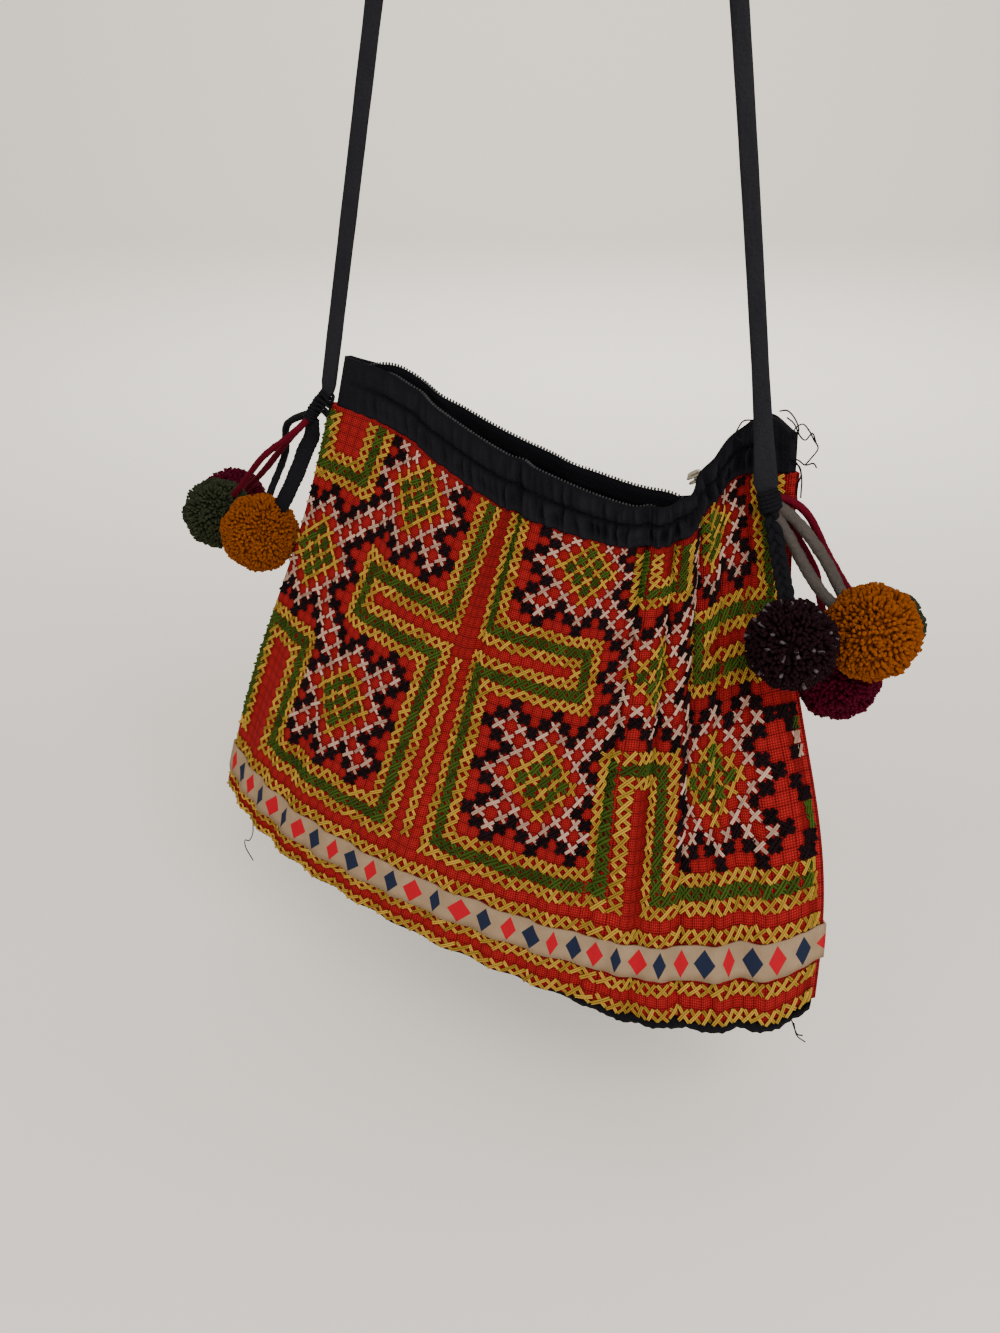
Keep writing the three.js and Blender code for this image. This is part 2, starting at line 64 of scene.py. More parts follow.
# Pleats: place and half width in cells, depth at the band and at the hem.
frontPleats = [
    (-14.5, 1.2, 1.6, 0.8),
    (1.4, 1.1, 2.6, 0.8),
    (17.6, 1.3, 3.6, 1.2),
    (22.6, 1.2, 3.0, 1.6),
    (26.6, 1.2, 2.6, 1.8),
    (32.4, 1.3, 2.0, 1.6),
]
backPleats = [
    (-12, 1.8, 1.6, 1.2),
    (6, 1.8, 1.8, 1.4),
    (23, 1.8, 1.6, 1.6),
]
sections = {name: np.array([row[k] for row in sectionRows], float) for k, name in enumerate(sectionColumns)}
leftEnd, rightEnd = sections["s"][0], sections["s"][-1]


def unit(vectors):
    return vectors / np.linalg.norm(vectors, axis=-1, keepdims=True)


def bell(x, place, half):
    return np.exp(-(((x - place) / half) ** 2))


def ramp(x, first, last):  # from 0 to 1 between two places
    return np.clip((x - first) / (last - first), 0, 1)


def nearEnds(s, reach, first=leftEnd, last=rightEnd):  # 0 at both ends, 1 further in
    return np.clip(np.minimum(s - first, last - s) / reach, 0, 1)


def crossed(first, second):
    return np.meshgrid(first, second, indexing="ij")


def squared(x, power):  # rounds a sine less, for a squarer outline
    return np.sign(x) * np.abs(x) ** power


def seamToSeam(perCell):
    return np.linspace(leftEnd, rightEnd, int((rightEnd - leftEnd) * perCell) + 1)


def along(column, s):  # a smooth curve through one column of the sections
    at, knot = sections[column], sections["s"]
    slope = np.concatenate([
        [(at[1] - at[0]) / (knot[1] - knot[0])],
        (at[2:] - at[:-2]) / (knot[2:] - knot[:-2]),
        [(at[-1] - at[-2]) / (knot[-1] - knot[-2])],
    ])
    i = np.clip(np.searchsorted(knot, s) - 1, 0, len(knot) - 2)
    span = knot[i + 1] - knot[i]
    f = (s - knot[i]) / span
    return ((2 * f**3 - 3 * f**2 + 1) * at[i] + (f**3 - 2 * f**2 + f) * span * slope[i]
            + (3 * f**2 - 2 * f**3) * at[i + 1] + (f**3 - f**2) * span * slope[i + 1])


def depthOf(pleats, s, v):
    return sum((atBand + (atHem - atBand) * v) * bell(s, place, half)
               for place, half, atBand, atHem in pleats)


def foldOf(pleats, s, v):
    ripple = form["rippleHeight"] * v * np.sin(2 * np.pi * s / form["ripplePeriod"])
    return (ripple - depthOf(pleats, s, v)) * nearEnds(s, form["foldReach"])


def plainWall(side, s, v):  # side is -1 for the front and 1 for the back
    topY, hemY = along("topY", s), along("hemY", s)
    swell = 0
    if side > 0:
        topY, hemY = topY + along("mouth", s), hemY + along("depth", s)
    else:
        swell = form["belly"] * 4 * v * (1 - v) * nearEnds(s, form["bellyReach"])
    nearLeft = np.clip(1 - (s - leftEnd) / form["swayReach"], 0, 1) ** 2
    nearRight = np.clip(1 - (rightEnd - s) / form["swayReach"], 0, 1) ** 2
    sway = form["swayLeft"] * nearLeft - form["swayRight"] * nearRight
    topX, topZ = along("topX", s), along("topZ", s)
    return np.stack([
        topX + (along("hemX", s) - topX) * v + sway * np.sin(2 * np.pi * v),
        topY + (hemY - topY) * v - swell,
        topZ + (along("hemZ", s) - topZ) * v,
    ], -1)


def outOf(side, s, v):  # level direction out of the wall
    step = 0.5
    after, before = np.minimum(rightEnd, s + step), np.maximum(leftEnd, s - step)
    run = plainWall(side, after, v) - plainWall(side, before, v)
    return unit(np.stack([run[..., 1], -run[..., 0], 0 * run[..., 0]], -1) * -side)


def wallPoint(side, s, v, off=0.0):
    s, v = np.broadcast_arrays(np.asarray(s, float), np.asarray(v, float))
    fold = foldOf(frontPleats if side < 0 else backPleats, s, v) + off
    return plainWall(side, s, v) + outOf(side, s, v) * fold[..., None]


def roundedEnd(pointAt, end, down, off=0.0):  # where front and back meet, a little past the last section
    s = np.full(np.shape(down), leftEnd if end < 0 else rightEnd)
    front, back = pointAt(-1, s, down), pointAt(1, s, down)
    middle = (front + back) / 2
    middle[..., 0] = front[..., 0] + end * (form["seamRound"] + off)
    return middle


def placed(points):  # bag millimetres to metres in the shared frame
    points = np.array(points, float)
    points[..., 2] -= form["hangDrop"]
    return points * mm


def waves(points, size, seed):  # smooth wobble between -1 and 1, the same on every run
    rng = np.random.default_rng(seed)
    count = 5
    total = np.zeros(points.shape[:-1])
    for _ in range(count):
        turn = rng.normal(size=3)
        turn *= 2 * np.pi / (size * rng.uniform(0.7, 1.5) * np.linalg.norm(turn))
        total += np.sin(points @ turn + rng.uniform(0, 2 * np.pi))
    return total / (count / 2)


# Node trees, for materials and geometry alike.
def maker(tree):  # adds a node with its inputs and settings, and gives its first output
    def put(kind, inputs=None, **settings):
        node = tree.nodes.new(kind)
        for key, value in settings.items():
            setattr(node, key, value)
        for key, value in (inputs or {}).items():
            if isinstance(value, bpy.types.NodeSocket):
                tree.links.new(value, node.inputs[key])
            else:
                node.inputs[key].default_value = value
        return node.outputs[0] if node.outputs else node
    return put


def maths(put):
    def do(operation, *values):
        return put("ShaderNodeMath", dict(enumerate(values)), operation=operation)
    return do


def weighed(do, first, *others):  # values added up by their weights
    total = do("MULTIPLY", *first)
    for other in others:
        total = do("MULTIPLY_ADD", *other, total)
    return total


def rgba(colour):
    return (*colour, 1)


def mixed(put, factor, first, second, blend="MIX"):
    first, second = (rgba(one) if isinstance(one, tuple) else one for one in (first, second))
    inputs = {0: factor, 6: first, 7: second}
    return put("ShaderNodeMix", inputs, data_type="RGBA", blend_type=blend).node.outputs[2]


def noise(put, scale, detail):
    place = put("ShaderNodeTexCoord").node.outputs["Object"]
    return put("ShaderNodeTexNoise", {"Vector": place, "Scale": scale, "Detail": detail})


def cellParts(put):
    return put("ShaderNodeSeparateXYZ", {0: put("ShaderNodeUVMap", uv_map="cells")}).node.outputs


def shadeOf(put):  # the tone that a mesh carries with it: random by strand on stitches and yarn, painted pucker shade on the band
    return put("ShaderNodeAttribute", attribute_name="shade").node.outputs["Fac"]


def shader(name, roughness, sheen=0.0, tint=None, metallic=0.0):
    material = bpy.data.materials.new(name)
    material.use_nodes = True
    skin = material.node_tree.nodes["Principled BSDF"]
    values = {"Roughness": roughness, "Metallic": metallic, "Specular IOR Level": 0.5 if metallic else 0.05}
    if sheen:
        values.update({"Sheen Weight": sheen, "Sheen Roughness": 0.5, "Sheen Tint": rgba(tint)})
    for key, value in values.items():
        skin.inputs[key].default_value = value
    return material, skin, maker(material.node_tree)


def dress(skin, put, colour, height, distance):
    relief = put("ShaderNodeBump", {"Height": height, "Distance": distance})
    for key, value in (("Base Color", colour), ("Normal", relief)):
        skin.id_data.links.new(value, skin.inputs[key])


def clothMaterial(name, base, deep, perCell):  # plain weave that puffs up in every cell of the chart, painted darker as shade in its thread gaps and at cell edges
    material, skin, put = shader(name, 0.9)
    do = maths(put)
    part = cellParts(put)

    def waveOf(axis, count):
        return do("SINE", do("MULTIPLY", part[axis], math.pi * count))

    def crossing(upper, lower):
        return do("MULTIPLY", upper, do("MULTIPLY_ADD", lower, 0.45, 0.55))

    weft, warp = waveOf("X", perCell), waveOf("Y", perCell)
    weftUp, warpUp = do("ABSOLUTE", weft), do("ABSOLUTE", warp)
    which = do("GREATER_THAN", do("MULTIPLY", weft, warp), 0.0)
    weave = put("ShaderNodeMix", {0: which, 2: crossing(weftUp, warpUp), 3: crossing(warpUp, weftUp)})
    puff = do("POWER", do("ABSOLUTE", do("MULTIPLY", waveOf("X", 1), waveOf("Y", 1))), 0.6)
    patch, fuzz = noise(put, 60, 4), noise(put, 1500, 2)
    # Painted shade: the colour follows the bump's weave and puff, lighter on thread crowns and cell middles,
    # darker in the gaps and at cell edges; the noise patches are uneven fading of the cloth.
    colour = mixed(put, weighed(do, (weave, 0.6), (puff, 0.25), (patch, 0.2)), deep, base)
    dress(skin, put, colour, weighed(do, (weave, 0.9), (puff, 0.9), (fuzz, 0.3)), 0.7 * mm)
    return material


def threadMaterial(name, base, deep, sheen=0.0, pale=None, flecks=0.0):  # floss and yarn, tone by strand
    material, skin, put = shader(name, 0.8, sheen, base)
    do = maths(put)
    strand, hair = shadeOf(put), noise(put, 2200, 3)
    colour = mixed(put, weighed(do, (strand, 0.6), (hair, 0.5)), deep, base)
    if pale:
        colour = mixed(put, do("GREATER_THAN", strand, 1 - flecks), colour, pale)
    dress(skin, put, colour, hair, 0.3 * mm)
    return material


def cottonMaterial(name, base, deep, scale=900, roughness=0.85, paintedFoldShade=0.0):  # plain cotton, with worn patches, and where asked, painted pucker shade from the mesh
    material, skin, put = shader(name, roughness)
    do = maths(put)
    weave, patch = noise(put, scale, 2), noise(put, 45, 3)
    tone = weighed(do, (weave, 0.5), (patch, 0.5))
    # painted shade: the mesh's shade tone, lighter on pucker ridges and darker in their valleys, takes this
    # share of the colour
    if paintedFoldShade:
        tone = weighed(do, (tone, 1 - paintedFoldShade), (shadeOf(put), paintedFoldShade))
    dress(skin, put, mixed(put, tone, deep, base), weighed(do, (weave, 1), (patch, 2)), 0.6 * mm)
    return material


def ribbonMaterial(name):  # navy and coral diamonds in turn on a ribbed cream ground
    diamond = {"pitch": 2.1, "halfWide": 0.36, "halfTall": 0.42, "uneven": 0.1, "ribs": 9}
    material, skin, put = shader(name, 0.7)
    do = maths(put)
    part = cellParts(put)
    count = do("DIVIDE", part["X"], diamond["pitch"])
    which = do("ROUND", count)
    wide = do("MULTIPLY_ADD", do("SINE", do("MULTIPLY", which, 2.4)), diamond["uneven"], diamond["halfWide"])
    aside = do("DIVIDE", do("ABSOLUTE", do("SUBTRACT", count, which)), wide)
    above = do("DIVIDE", do("ABSOLUTE", do("SUBTRACT", part["Y"], 0.5)), diamond["halfTall"])
    inside = do("LESS_THAN", do("ADD", aside, above), 1.0)
    odd = do("ABSOLUTE", do("MODULO", which, 2.0))
    rib = do("SINE", do("MULTIPLY", part["X"], 2 * math.pi * diamond["ribs"]))
    ribs = do("MULTIPLY_ADD", rib, 0.5, 0.5)
    ground = mixed(put, noise(put, 120, 4), (0.23, 0.155, 0.092), (0.38, 0.265, 0.165))
    motif = mixed(put, odd, (0.014, 0.02, 0.045), (0.43, 0.007, 0.018))
    colour = mixed(put, inside, ground, motif)
    colour = mixed(put, do("MULTIPLY", ribs, 0.25), colour, (0.3, 0.3, 0.3), "MULTIPLY")
    dress(skin, put, colour, weighed(do, (inside, 0.6), (ribs, 0.4)), 0.3 * mm)
    return material


def metalMaterial(name):
    material, skin, put = shader(name, 0.45, metallic=1.0)
    wear = noise(put, 700, 4)
    dress(skin, put, mixed(put, wear, (0.2, 0.17, 0.13), (0.46, 0.42, 0.34)), wear, 0.1 * mm)
    return material


finish = {
    "red": clothMaterial("red_evenweave", (0.46, 0.019, 0.022), (0.035, 0.0015, 0.002), 5),
    "yellow": threadMaterial("yellow_floss", (0.57, 0.355, 0.048), (0.14, 0.08, 0.01)),
    "white": threadMaterial("white_floss", (0.62, 0.42, 0.32), (0.2, 0.115, 0.08)),
    "green": threadMaterial("green_floss", (0.052, 0.098, 0.013), (0.013, 0.024, 0.003)),
    "navy": threadMaterial("navy_floss", (0.012, 0.005, 0.0065), (0.003, 0.0015, 0.002)),
    "black": cottonMaterial("black_cotton", (0.011, 0.0105, 0.0135), (0.002, 0.002, 0.0026)),
    # the band's colour is mostly painted shade of its puckers: lighter on the ridges, darker in the valleys
    # and the groove
    "band": cottonMaterial("band_cotton", (0.012, 0.0114, 0.0152), (0.0008, 0.0008, 0.0012), paintedFoldShade=0.7),
    "strap": cottonMaterial("strap_cotton", (0.02, 0.0195, 0.024), (0.008, 0.008, 0.01)),
    "tape": cottonMaterial("zip_tape", (0.006, 0.006, 0.0075), (0.002, 0.002, 0.003), 1400),
    "coil": cottonMaterial("zip_coil", (0.06, 0.06, 0.062), (0.02, 0.02, 0.022), 600, 0.5),
    "ribbon": ribbonMaterial("woven_ribbon"),
    "metal": metalMaterial("slider_metal"),
    "crimson": cottonMaterial("crimson_cord", (0.12, 0.003, 0.013), (0.04, 0.001, 0.004), 700),
    "grey": cottonMaterial("grey_cord", (0.09, 0.076, 0.067), (0.03, 0.025, 0.022), 700),
    "yarnGreen": threadMaterial("green_yarn", (0.03, 0.036, 0.018), (0.011, 0.013, 0.007), 0.3),
    "yarnMustard": threadMaterial("mustard_yarn", (0.245, 0.062, 0.001), (0.135, 0.027, 0.0), 0.4),
    "yarnMaroon": threadMaterial("maroon_yarn", (0.075, 0.001, 0.012), (0.025, 0.0, 0.004), 0.4),
    "yarnPlum": threadMaterial("plum_yarn", (0.014, 0.004, 0.006), (0.005, 0.001, 0.002), 0.2,
                               pale=(0.085, 0.068, 0.07), flecks=0.05),
}
print("materials", len(finish))


# Meshes from grids of points.
def linked(name, data):
    obj = bpy.data.objects.new(name, data)
    bpy.context.scene.collection.objects.link(obj)
    return obj


def meshObject(name, points, faces, material, uv=None):
    mesh = bpy.data.meshes.new(name)
    mesh.from_pydata(np.asarray(points).reshape(-1, 3).tolist(), [], [tuple(face) for face in faces])
    mesh.materials.append(material)
    if uv is not None:
        layer = mesh.uv_layers.new(name="cells")
        corner = np.empty(len(mesh.loops), np.int32)
        mesh.loops.foreach_get("vertex_index", corner)
        layer.data.foreach_set("uv", np.asarray(uv, np.float32).reshape(-1, 2)[corner].ravel())
    mesh.polygons.foreach_set("use_smooth", [True] * len(mesh.polygons))
    mesh.update()
    return linked(name, mesh)


def gridFaces(cols, rows, start=0):
    c, r = (one.ravel() for one in crossed(np.arange(cols - 1), np.arange(rows - 1)))
    first = start + c * rows + r
    return np.stack([first, first + 1, first + rows + 1, first + rows], -1)


def insideOut(points, faces):  # whether the faces look inwards
    corner = np.asarray(points).reshape(-1, 3)[np.asarray(faces)]
    one = np.einsum("ij,ij->i", corner[:, 0], np.cross(corner[:, 1], corner[:, 2]))
    two = np.einsum("ij,ij->i", corner[:, 0], np.cross(corner[:, 2], corner[:, 3]))
    return (one + two).sum() < 0


def shellPiece(name, outer, inner, uv, material):  # closed wall between two grids
    cols, rows = outer.shape[:2]
    layer = cols * rows
    points = np.concatenate([outer.reshape(-1, 3), inner.reshape(-1, 3)])
    faces = [gridFaces(cols, rows), gridFaces(cols, rows, layer)[:, ::-1]]
    c, r = np.arange(cols - 1) * rows, np.arange(rows - 1)
    for row, turn in ((0, 1), (rows - 1, -1)):
        edge = np.stack([c, c + rows, c + rows + layer, c + layer], -1) + row
        faces.append(edge[:, ::turn])
    for col, turn in ((0, 1), (cols - 1, -1)):
        edge = np.stack([r, r + layer, r + 1 + layer, r + 1], -1) + col * rows
        faces.append(edge[:, ::turn])
    faces = np.concatenate(faces)
    if insideOut(points, faces):
        faces = faces[:, ::-1]
    return meshObject(name, points, faces, material, np.concatenate([uv.reshape(-1, 2)] * 2))


def loftPiece(name, rings, uv, material):  # closed tube through rings of points, with a fan at each end
    count, sides = rings.shape[:2]
    points = np.concatenate([rings.reshape(-1, 3), rings[0].mean(0)[None], rings[-1].mean(0)[None]])
    k, i = (one.ravel() for one in crossed(np.arange(count - 1) * sides, np.arange(sides)))
    j = (i + 1) % sides
    faces = np.stack([k + i, k + j, k + sides + j, k + sides + i], -1)
    turn = -1 if insideOut(points, faces) else 1
    tip, last = count * sides, (count - 1) * sides
    pairs = [(a, (a + 1) % sides) for a in range(sides)]
    fans = [(tip, b, a) for a, b in pairs] + [(tip + 1, last + a, last + b) for a, b in pairs]
    both = np.concatenate([uv.reshape(-1, 2), uv[0].mean(0)[None], uv[-1].mean(0)[None]])
    return meshObject(name, points, [face[::turn] for face in faces.tolist() + fans], material, both)


def reachAlong(path):  # how far each point lies along a path
    return np.concatenate([[0], np.cumsum(np.linalg.norm(np.diff(path, axis=0), axis=1))])


def pathLength(path):
    return float(reachAlong(path)[-1])


def smoothPath(points, count):  # even steps on a smooth curve through a few places
    points = np.asarray(points, float)
    ends = np.concatenate([[2 * points[0] - points[1]], points, [2 * points[-1] - points[-2]]])
    line = []
    fine = 40
    for k in range(len(points) - 1):
        p0, p1, p2, p3 = ends[k:k + 4]
        for f in np.linspace(0, 1, fine, endpoint=k == len(points) - 2):
            line.append(0.5 * (2 * p1 + (p2 - p0) * f + (2 * p0 - 5 * p1 + 4 * p2 - p3) * f**2
                               + (3 * p1 - p0 - 3 * p2 + p3) * f**3))
    line = np.array(line)
    far = reachAlong(line)
    even = np.linspace(0, far[-1], count)
    return np.stack([np.interp(even, far, line[:, k]) for k in range(3)], -1)


def pathFrames(path, up=(0.0, -1.0, 0.2)):  # two directions across a path, carried along without twist
    run = unit(np.gradient(path, axis=0))
    side = np.cross(up, run[0])
    sides = []
    for tangent in run:
        side = unit(side - tangent * (side @ tangent))
        sides.append(side)
    return np.array(sides), np.cross(run, sides)


def around(path, across, above):  # a line that winds round a path
    side, other = pathFrames(path)
    return path + side * across[:, None] + other * above[:, None]


def circle(sides):
    return np.linspace(0, 2 * np.pi, sides, endpoint=False)


def tubeRings(path, wide, tall, sides, **frames):
    side, other = pathFrames(path, **frames)
    angle = circle(sides)
    wide, tall = (np.broadcast_to(np.asarray(one, float), len(path))[:, None] for one in (wide, tall))
    return (path[:, None] + side[:, None] * (wide * np.cos(angle))[..., None]
            + other[:, None] * (tall * np.sin(angle))[..., None])


def uvGrid(first, second):
    return np.stack(crossed(first, second), -1)


def tubeUv(path, sides):
    return uvGrid(reachAlong(path), np.arange(sides) / sides)


def plainTube(name, path, radius, sides, material):
    return loftPiece(name, placed(tubeRings(path, radius, radius, sides)), tubeUv(path, sides), material)


def joined(name, objects):  # several meshes as one piece
    bpy.ops.object.select_all(action="DESELECT")
    for obj in objects:
        obj.select_set(True)
    bpy.context.view_layer.objects.active = objects[0]
    bpy.ops.object.join()
    objects[0].name = name
    objects[0].data.name = name
    return objects[0]


def settle(obj, slot, *nodes):  # every piece rides on the bag, and the CAD parts named are hidden; slot is not used
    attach(obj, "root")
    if nodes:
        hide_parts(*nodes)
    return obj


# Geometry Nodes: one tree for each thing that repeats.
def newTree(name, **inputs):
    tree = bpy.data.node_groups.new(name, "GeometryNodeTree")
    tree.interface.new_socket("Geometry", in_out="INPUT", socket_type="NodeSocketGeometry")
    for label, kind in {**inputs, "Seed": "Int", "Material": "Material"}.items():
        tree.interface.new_socket(label, in_out="INPUT", socket_type="NodeSocket" + kind)
    tree.interface.new_socket("Geometry", in_out="OUTPUT", socket_type="NodeSocketGeometry")
    put = maker(tree)
    return tree, put, put("NodeGroupInput").node.outputs


def endTree(put, geometry, given):  # tone by instance, then plain mesh with its material
    tone = put("FunctionNodeRandomValue", {"Seed": given["Seed"]}, data_type="FLOAT").node.outputs[1]
    stored = put("GeometryNodeStoreNamedAttribute", {"Geometry": geometry, "Name": "shade", "Value": tone},
                 data_type="FLOAT", domain="INSTANCE")
    soft = put("GeometryNodeSetShadeSmooth", {0: put("GeometryNodeRealizeInstances", {"Geometry": stored})})
    dressed = put("GeometryNodeSetMaterial", {"Geometry": soft, "Material": given["Material"]})
    put("NodeGroupOutput", {0: dressed})


def grow(name, source, tree, values):  # run a tree on a source object and keep the plain mesh
    modifier = source.modifiers.new(tree.name, "NODES")
    modifier.node_group = tree
    for socket in tree.interface.items_tree:
        if socket.in_out == "INPUT" and socket.name in values:
            modifier[socket.identifier] = values[socket.name]
    graph = bpy.context.evaluated_depsgraph_get()
    mesh = bpy.data.meshes.new_from_object(source.evaluated_get(graph), depsgraph=graph)
    bpy.data.objects.remove(source)
    mesh.name = name
    return linked(name, mesh)


def scatter(name, places, **vectors):  # loose points with named directions or sizes
    mesh = bpy.data.meshes.new(name)
    mesh.from_pydata(np.asarray(places).tolist(), [], [])
    for key, value in vectors.items():
        mesh.attributes.new(key, "FLOAT_VECTOR", "POINT").data.foreach_set(
            "vector", np.asarray(value, np.float32).ravel())
    return linked(name, mesh)


def named(put, name):
    return put("GeometryNodeInputNamedAttribute", {"Name": name}, data_type="FLOAT_VECTOR")


def between(put, low, high, given):  # a random vector for each instance
    return put("FunctionNodeRandomValue", {0: low, 1: high, "Seed": given["Seed"]}, data_type="FLOAT_VECTOR")


def tilted(put, rotation, euler):
    turns = {"Rotation": rotation, "Rotate By": put("FunctionNodeEulerToRotation", {0: euler})}
    return put("FunctionNodeRotateRotation", turns, rotation_space="LOCAL")


def facing(put, given):  # the named directions as a rotation, with a little unevenness
    axes = {"Primary Axis": named(put, "out"), "Secondary Axis": named(put, "run")}
    rotation = put("FunctionNodeAxesToRotation", axes, primary_axis="Z", secondary_axis="X")
    return tilted(put, rotation, between(put, (-0.12, -0.12, -0.17), (0.12, 0.12, 0.17), given))


def instances(put, points, one, rotation, scale):
    return put("GeometryNodeInstanceOnPoints",
               {"Points": points, "Instance": one, "Rotation": rotation, "Scale": scale})


def stitchTree():  # one arched stroke of two strands, laid along a diagonal of its cell
    arch, steps = -4.4, 4
    tree, put, given = newTree("stitch", Reach="Float", Strand="Float", Spread="Float", Rise="Float")
    do = maths(put)

    def aside(name, sign):
        return put("ShaderNodeCombineXYZ", {"X": do("MULTIPLY", given[name], sign)})

    line = put("GeometryNodeCurvePrimitiveLine", {"Start": aside("Reach", -1.0), "End": aside("Reach", 1.0)})
    stroke = put("GeometryNodeResampleCurve", {"Curve": line, "Count": steps})
    x = put("ShaderNodeSeparateXYZ", {0: put("GeometryNodeInputPosition")})
    lift = do("MULTIPLY", do("MULTIPLY_ADD", do("MULTIPLY", x, x), arch, 1.0), given["Rise"])
    bent = put("GeometryNodeSetPosition",
               {"Geometry": stroke, "Offset": put("ShaderNodeCombineXYZ", {"Z": lift})})
    level = put("GeometryNodeSetCurveNormal", {"Curve": bent}, mode="Z_UP")
    ring = put("GeometryNodeCurvePrimitiveCircle", {"Resolution": steps, "Radius": given["Strand"]})
    pair = put("GeometryNodeJoinGeometry")
    for sign in (1.0, -1.0):
        one = put("GeometryNodeTransform", {"Geometry": ring, "Translation": aside("Spread", sign)})
        tree.links.new(one, pair.node.inputs[0])
    thick = put("GeometryNodeCurveToMesh", {"Curve": level, "Profile Curve": pair, "Fill Caps": True})
    endTree(put, instances(put, given["Geometry"], thick, facing(put, given), named(put, "cell")), given)
    return tree


def yarnTree():  # cut yarn ends standing out of a pompom's head
    tree, put, given = newTree("cut_yarn", Apart="Float", Strand="Float", Length="Float", Tilt="Float")
    points = put("GeometryNodeDistributePointsOnFaces", {
        "Mesh": given["Geometry"], "Distance Min": given["Apart"], "Density Max": 4e6,
        "Seed": given["Seed"]}, distribute_method="POISSON")
    tip = maths(put)("MULTIPLY", given["Strand"], 1.25)
    end = put("GeometryNodeMeshCone", {
        "Vertices": 5, "Side Segments": 1, "Fill Segments": 1, "Radius Top": tip,
        "Radius Bottom": given["Strand"], "Depth": given["Length"]}, fill_type="NGON")
    lean = put("ShaderNodeVectorMath", {0: between(put, (-1, -1, 0), (1, 1, 0), given), 3: given["Tilt"]},
               operation="SCALE")
    rotation = tilted(put, points.node.outputs["Rotation"], lean)
    scale = between(put, (0.8, 0.8, 0.9), (1.2, 1.2, 1.1), given)
    endTree(put, instances(put, points, end, rotation, scale), given)
    return tree


def rowTree():  # small things in a row along a line: zip teeth and topstitches
    tree, put, given = newTree("in_a_row", Size="Vector")
    one = put("GeometryNodeMeshIcoSphere", {"Radius": 1.0, "Subdivisions": 2})
    endTree(put, instances(put, given["Geometry"], one, facing(put, given), given["Size"]), given)
    return tree


trees = {"stitch": stitchTree(), "yarn": yarnTree(), "row": rowTree()}

# Camera as the photo was taken: the frame is 1000 by 1333 pixels.
view = {"focalPixels": 1125, "tall": 1333, "place": (200, -418, 133), "down": 28, "right": 28, "sensor": 36,
        "nearest": 0.01}
lens = bpy.data.cameras.new("photo_camera")
lens.sensor_fit = "VERTICAL"
lens.sensor_height = view["sensor"]
lens.lens = view["focalPixels"] * view["sensor"] / view["tall"]
lens.clip_start = view["nearest"]
camera = linked("photo_camera", lens)
camera.location = placed(view["place"])
camera.rotation_euler = (math.radians(90 - view["down"]), 0, math.radians(view["right"]))
bpy.context.scene.camera = camera

# Embroidered cloth. t counts cells downwards, from the band to the hem.
cloth = {"firstRow": -14, "lastRow": 27, "rows": 41.5, "perCell": 4, "perRow": 2, "lastColumn": 41,
         "ribbonRow": 21.5, "ribbonPull": 6, "gatherAt": (-11, 11, 20, 32),
         "gather": (1.06, 1.15, 1.22, 1.17), "sag": 0.028, "sagFrom": 4, "sagLowest": 0.86, "sagFade": 0.07,
         "pucker": 0.25, "puckerSize": 14, "puckerSeed": 3, "endReach": 4, "foldAt": 28,
         "steps": 400, "edge": 0.4, "underBand": 0.012}
# Where the chart's columns lie along the bag, row by row: even at the left, taken up by folds at the right.
columnMarks = (-25, 14, 18, 20, 24, 26, 29, 32, 35, 38, 41, 42)
columnRows = {
    -12: (-25, 14, 17.5, 20.2, 25, 26.3, 27.3, 28.8, 31.2, 34.6, 39, 39.6),
    0: (-25, 14, 17.7, 20.3, 24.8, 26.6, 27.9, 30, 33.2, 36.8, 39, 39.6),
    10: (-25, 14, 17.4, 20.7, 24.9, 27, 28, 30.4, 33.7, 38, 39, 39.6),
    20: (-25, 14, 18.1, 21, 25.1, 27, 29.7, 32.4, 35.2, 38.2, 39, 39.6),
}
backColumns = (-25, 14, 18, 20, 24, 26, 29, 32, 35, 37.2, 39, 39.6)
# Tucks: place, pull, reach and how fast they fade towards the hem.
tucks = [
    (0.3, 0.72, 4, 2),
    (22, 0.7, 3.6, 0.25),
]
# Creases, like the pleats: place, half width, depth at the band and at the hem.
creases = [
    (1.6, 0.5, 2.4, 0.4),
    (17.6, 0.45, 3.8, 1.4),
    (22.5, 0.45, 3.8, 1.6),
    (27, 0.5, 4.4, 2.6),
    (30, 0.4, 2.6, 2.6),
    (34, 0.45, 2.4, 1.6),
]


def sagAt(s):
    return form["ribbonSag"] * ramp(s, form["sagFrom"], form["sagTo"])


def clothHeight(side, s, t):  # rows lie closer under the band, and one row runs along the ribbon's edge
    share = np.clip((t - cloth["firstRow"]) / cloth["rows"], 0, 1)
    edge = (cloth["ribbonRow"] - cloth["firstRow"]) / cloth["rows"]
    power, sag = cloth["gather"][0], 0.0
    if side < 0:
        power = np.interp(s, cloth["gatherAt"], cloth["gather"])
        sag = cloth["sag"] * ramp(s, cloth["sagFrom"], form["sagTo"])
    hang = np.minimum((share / cloth["sagLowest"]) ** 2, np.clip((1 - share) / cloth["sagFade"], 0, 1))
    gap = form["ribbonTop"] + sagAt(s) - edge ** power - sag
    snap = np.minimum((share / edge) ** cloth["ribbonPull"], (1 - share) / (1 - edge))
    return share ** power + sag * hang + gap * snap


def clothAt(side, s, v, off=0.0):
    plain = wallPoint(side, s, v)
    fine = cloth["pucker"] * waves(plain, cloth["puckerSize"], cloth["puckerSeed"])
    if side < 0:
        fine = fine - depthOf(creases, s, v)
    return plain + outOf(side, s, v) * (fine * nearEnds(s, cloth["endReach"]) + off)[..., None]


def tucked(s, v):  # folds that take up some cells' width, less towards the hem
    for place, pull, reach, fade in tucks:
        s = s - pull * (s - place) * bell(s, place, reach) * (1 - v) ** fade
    return s


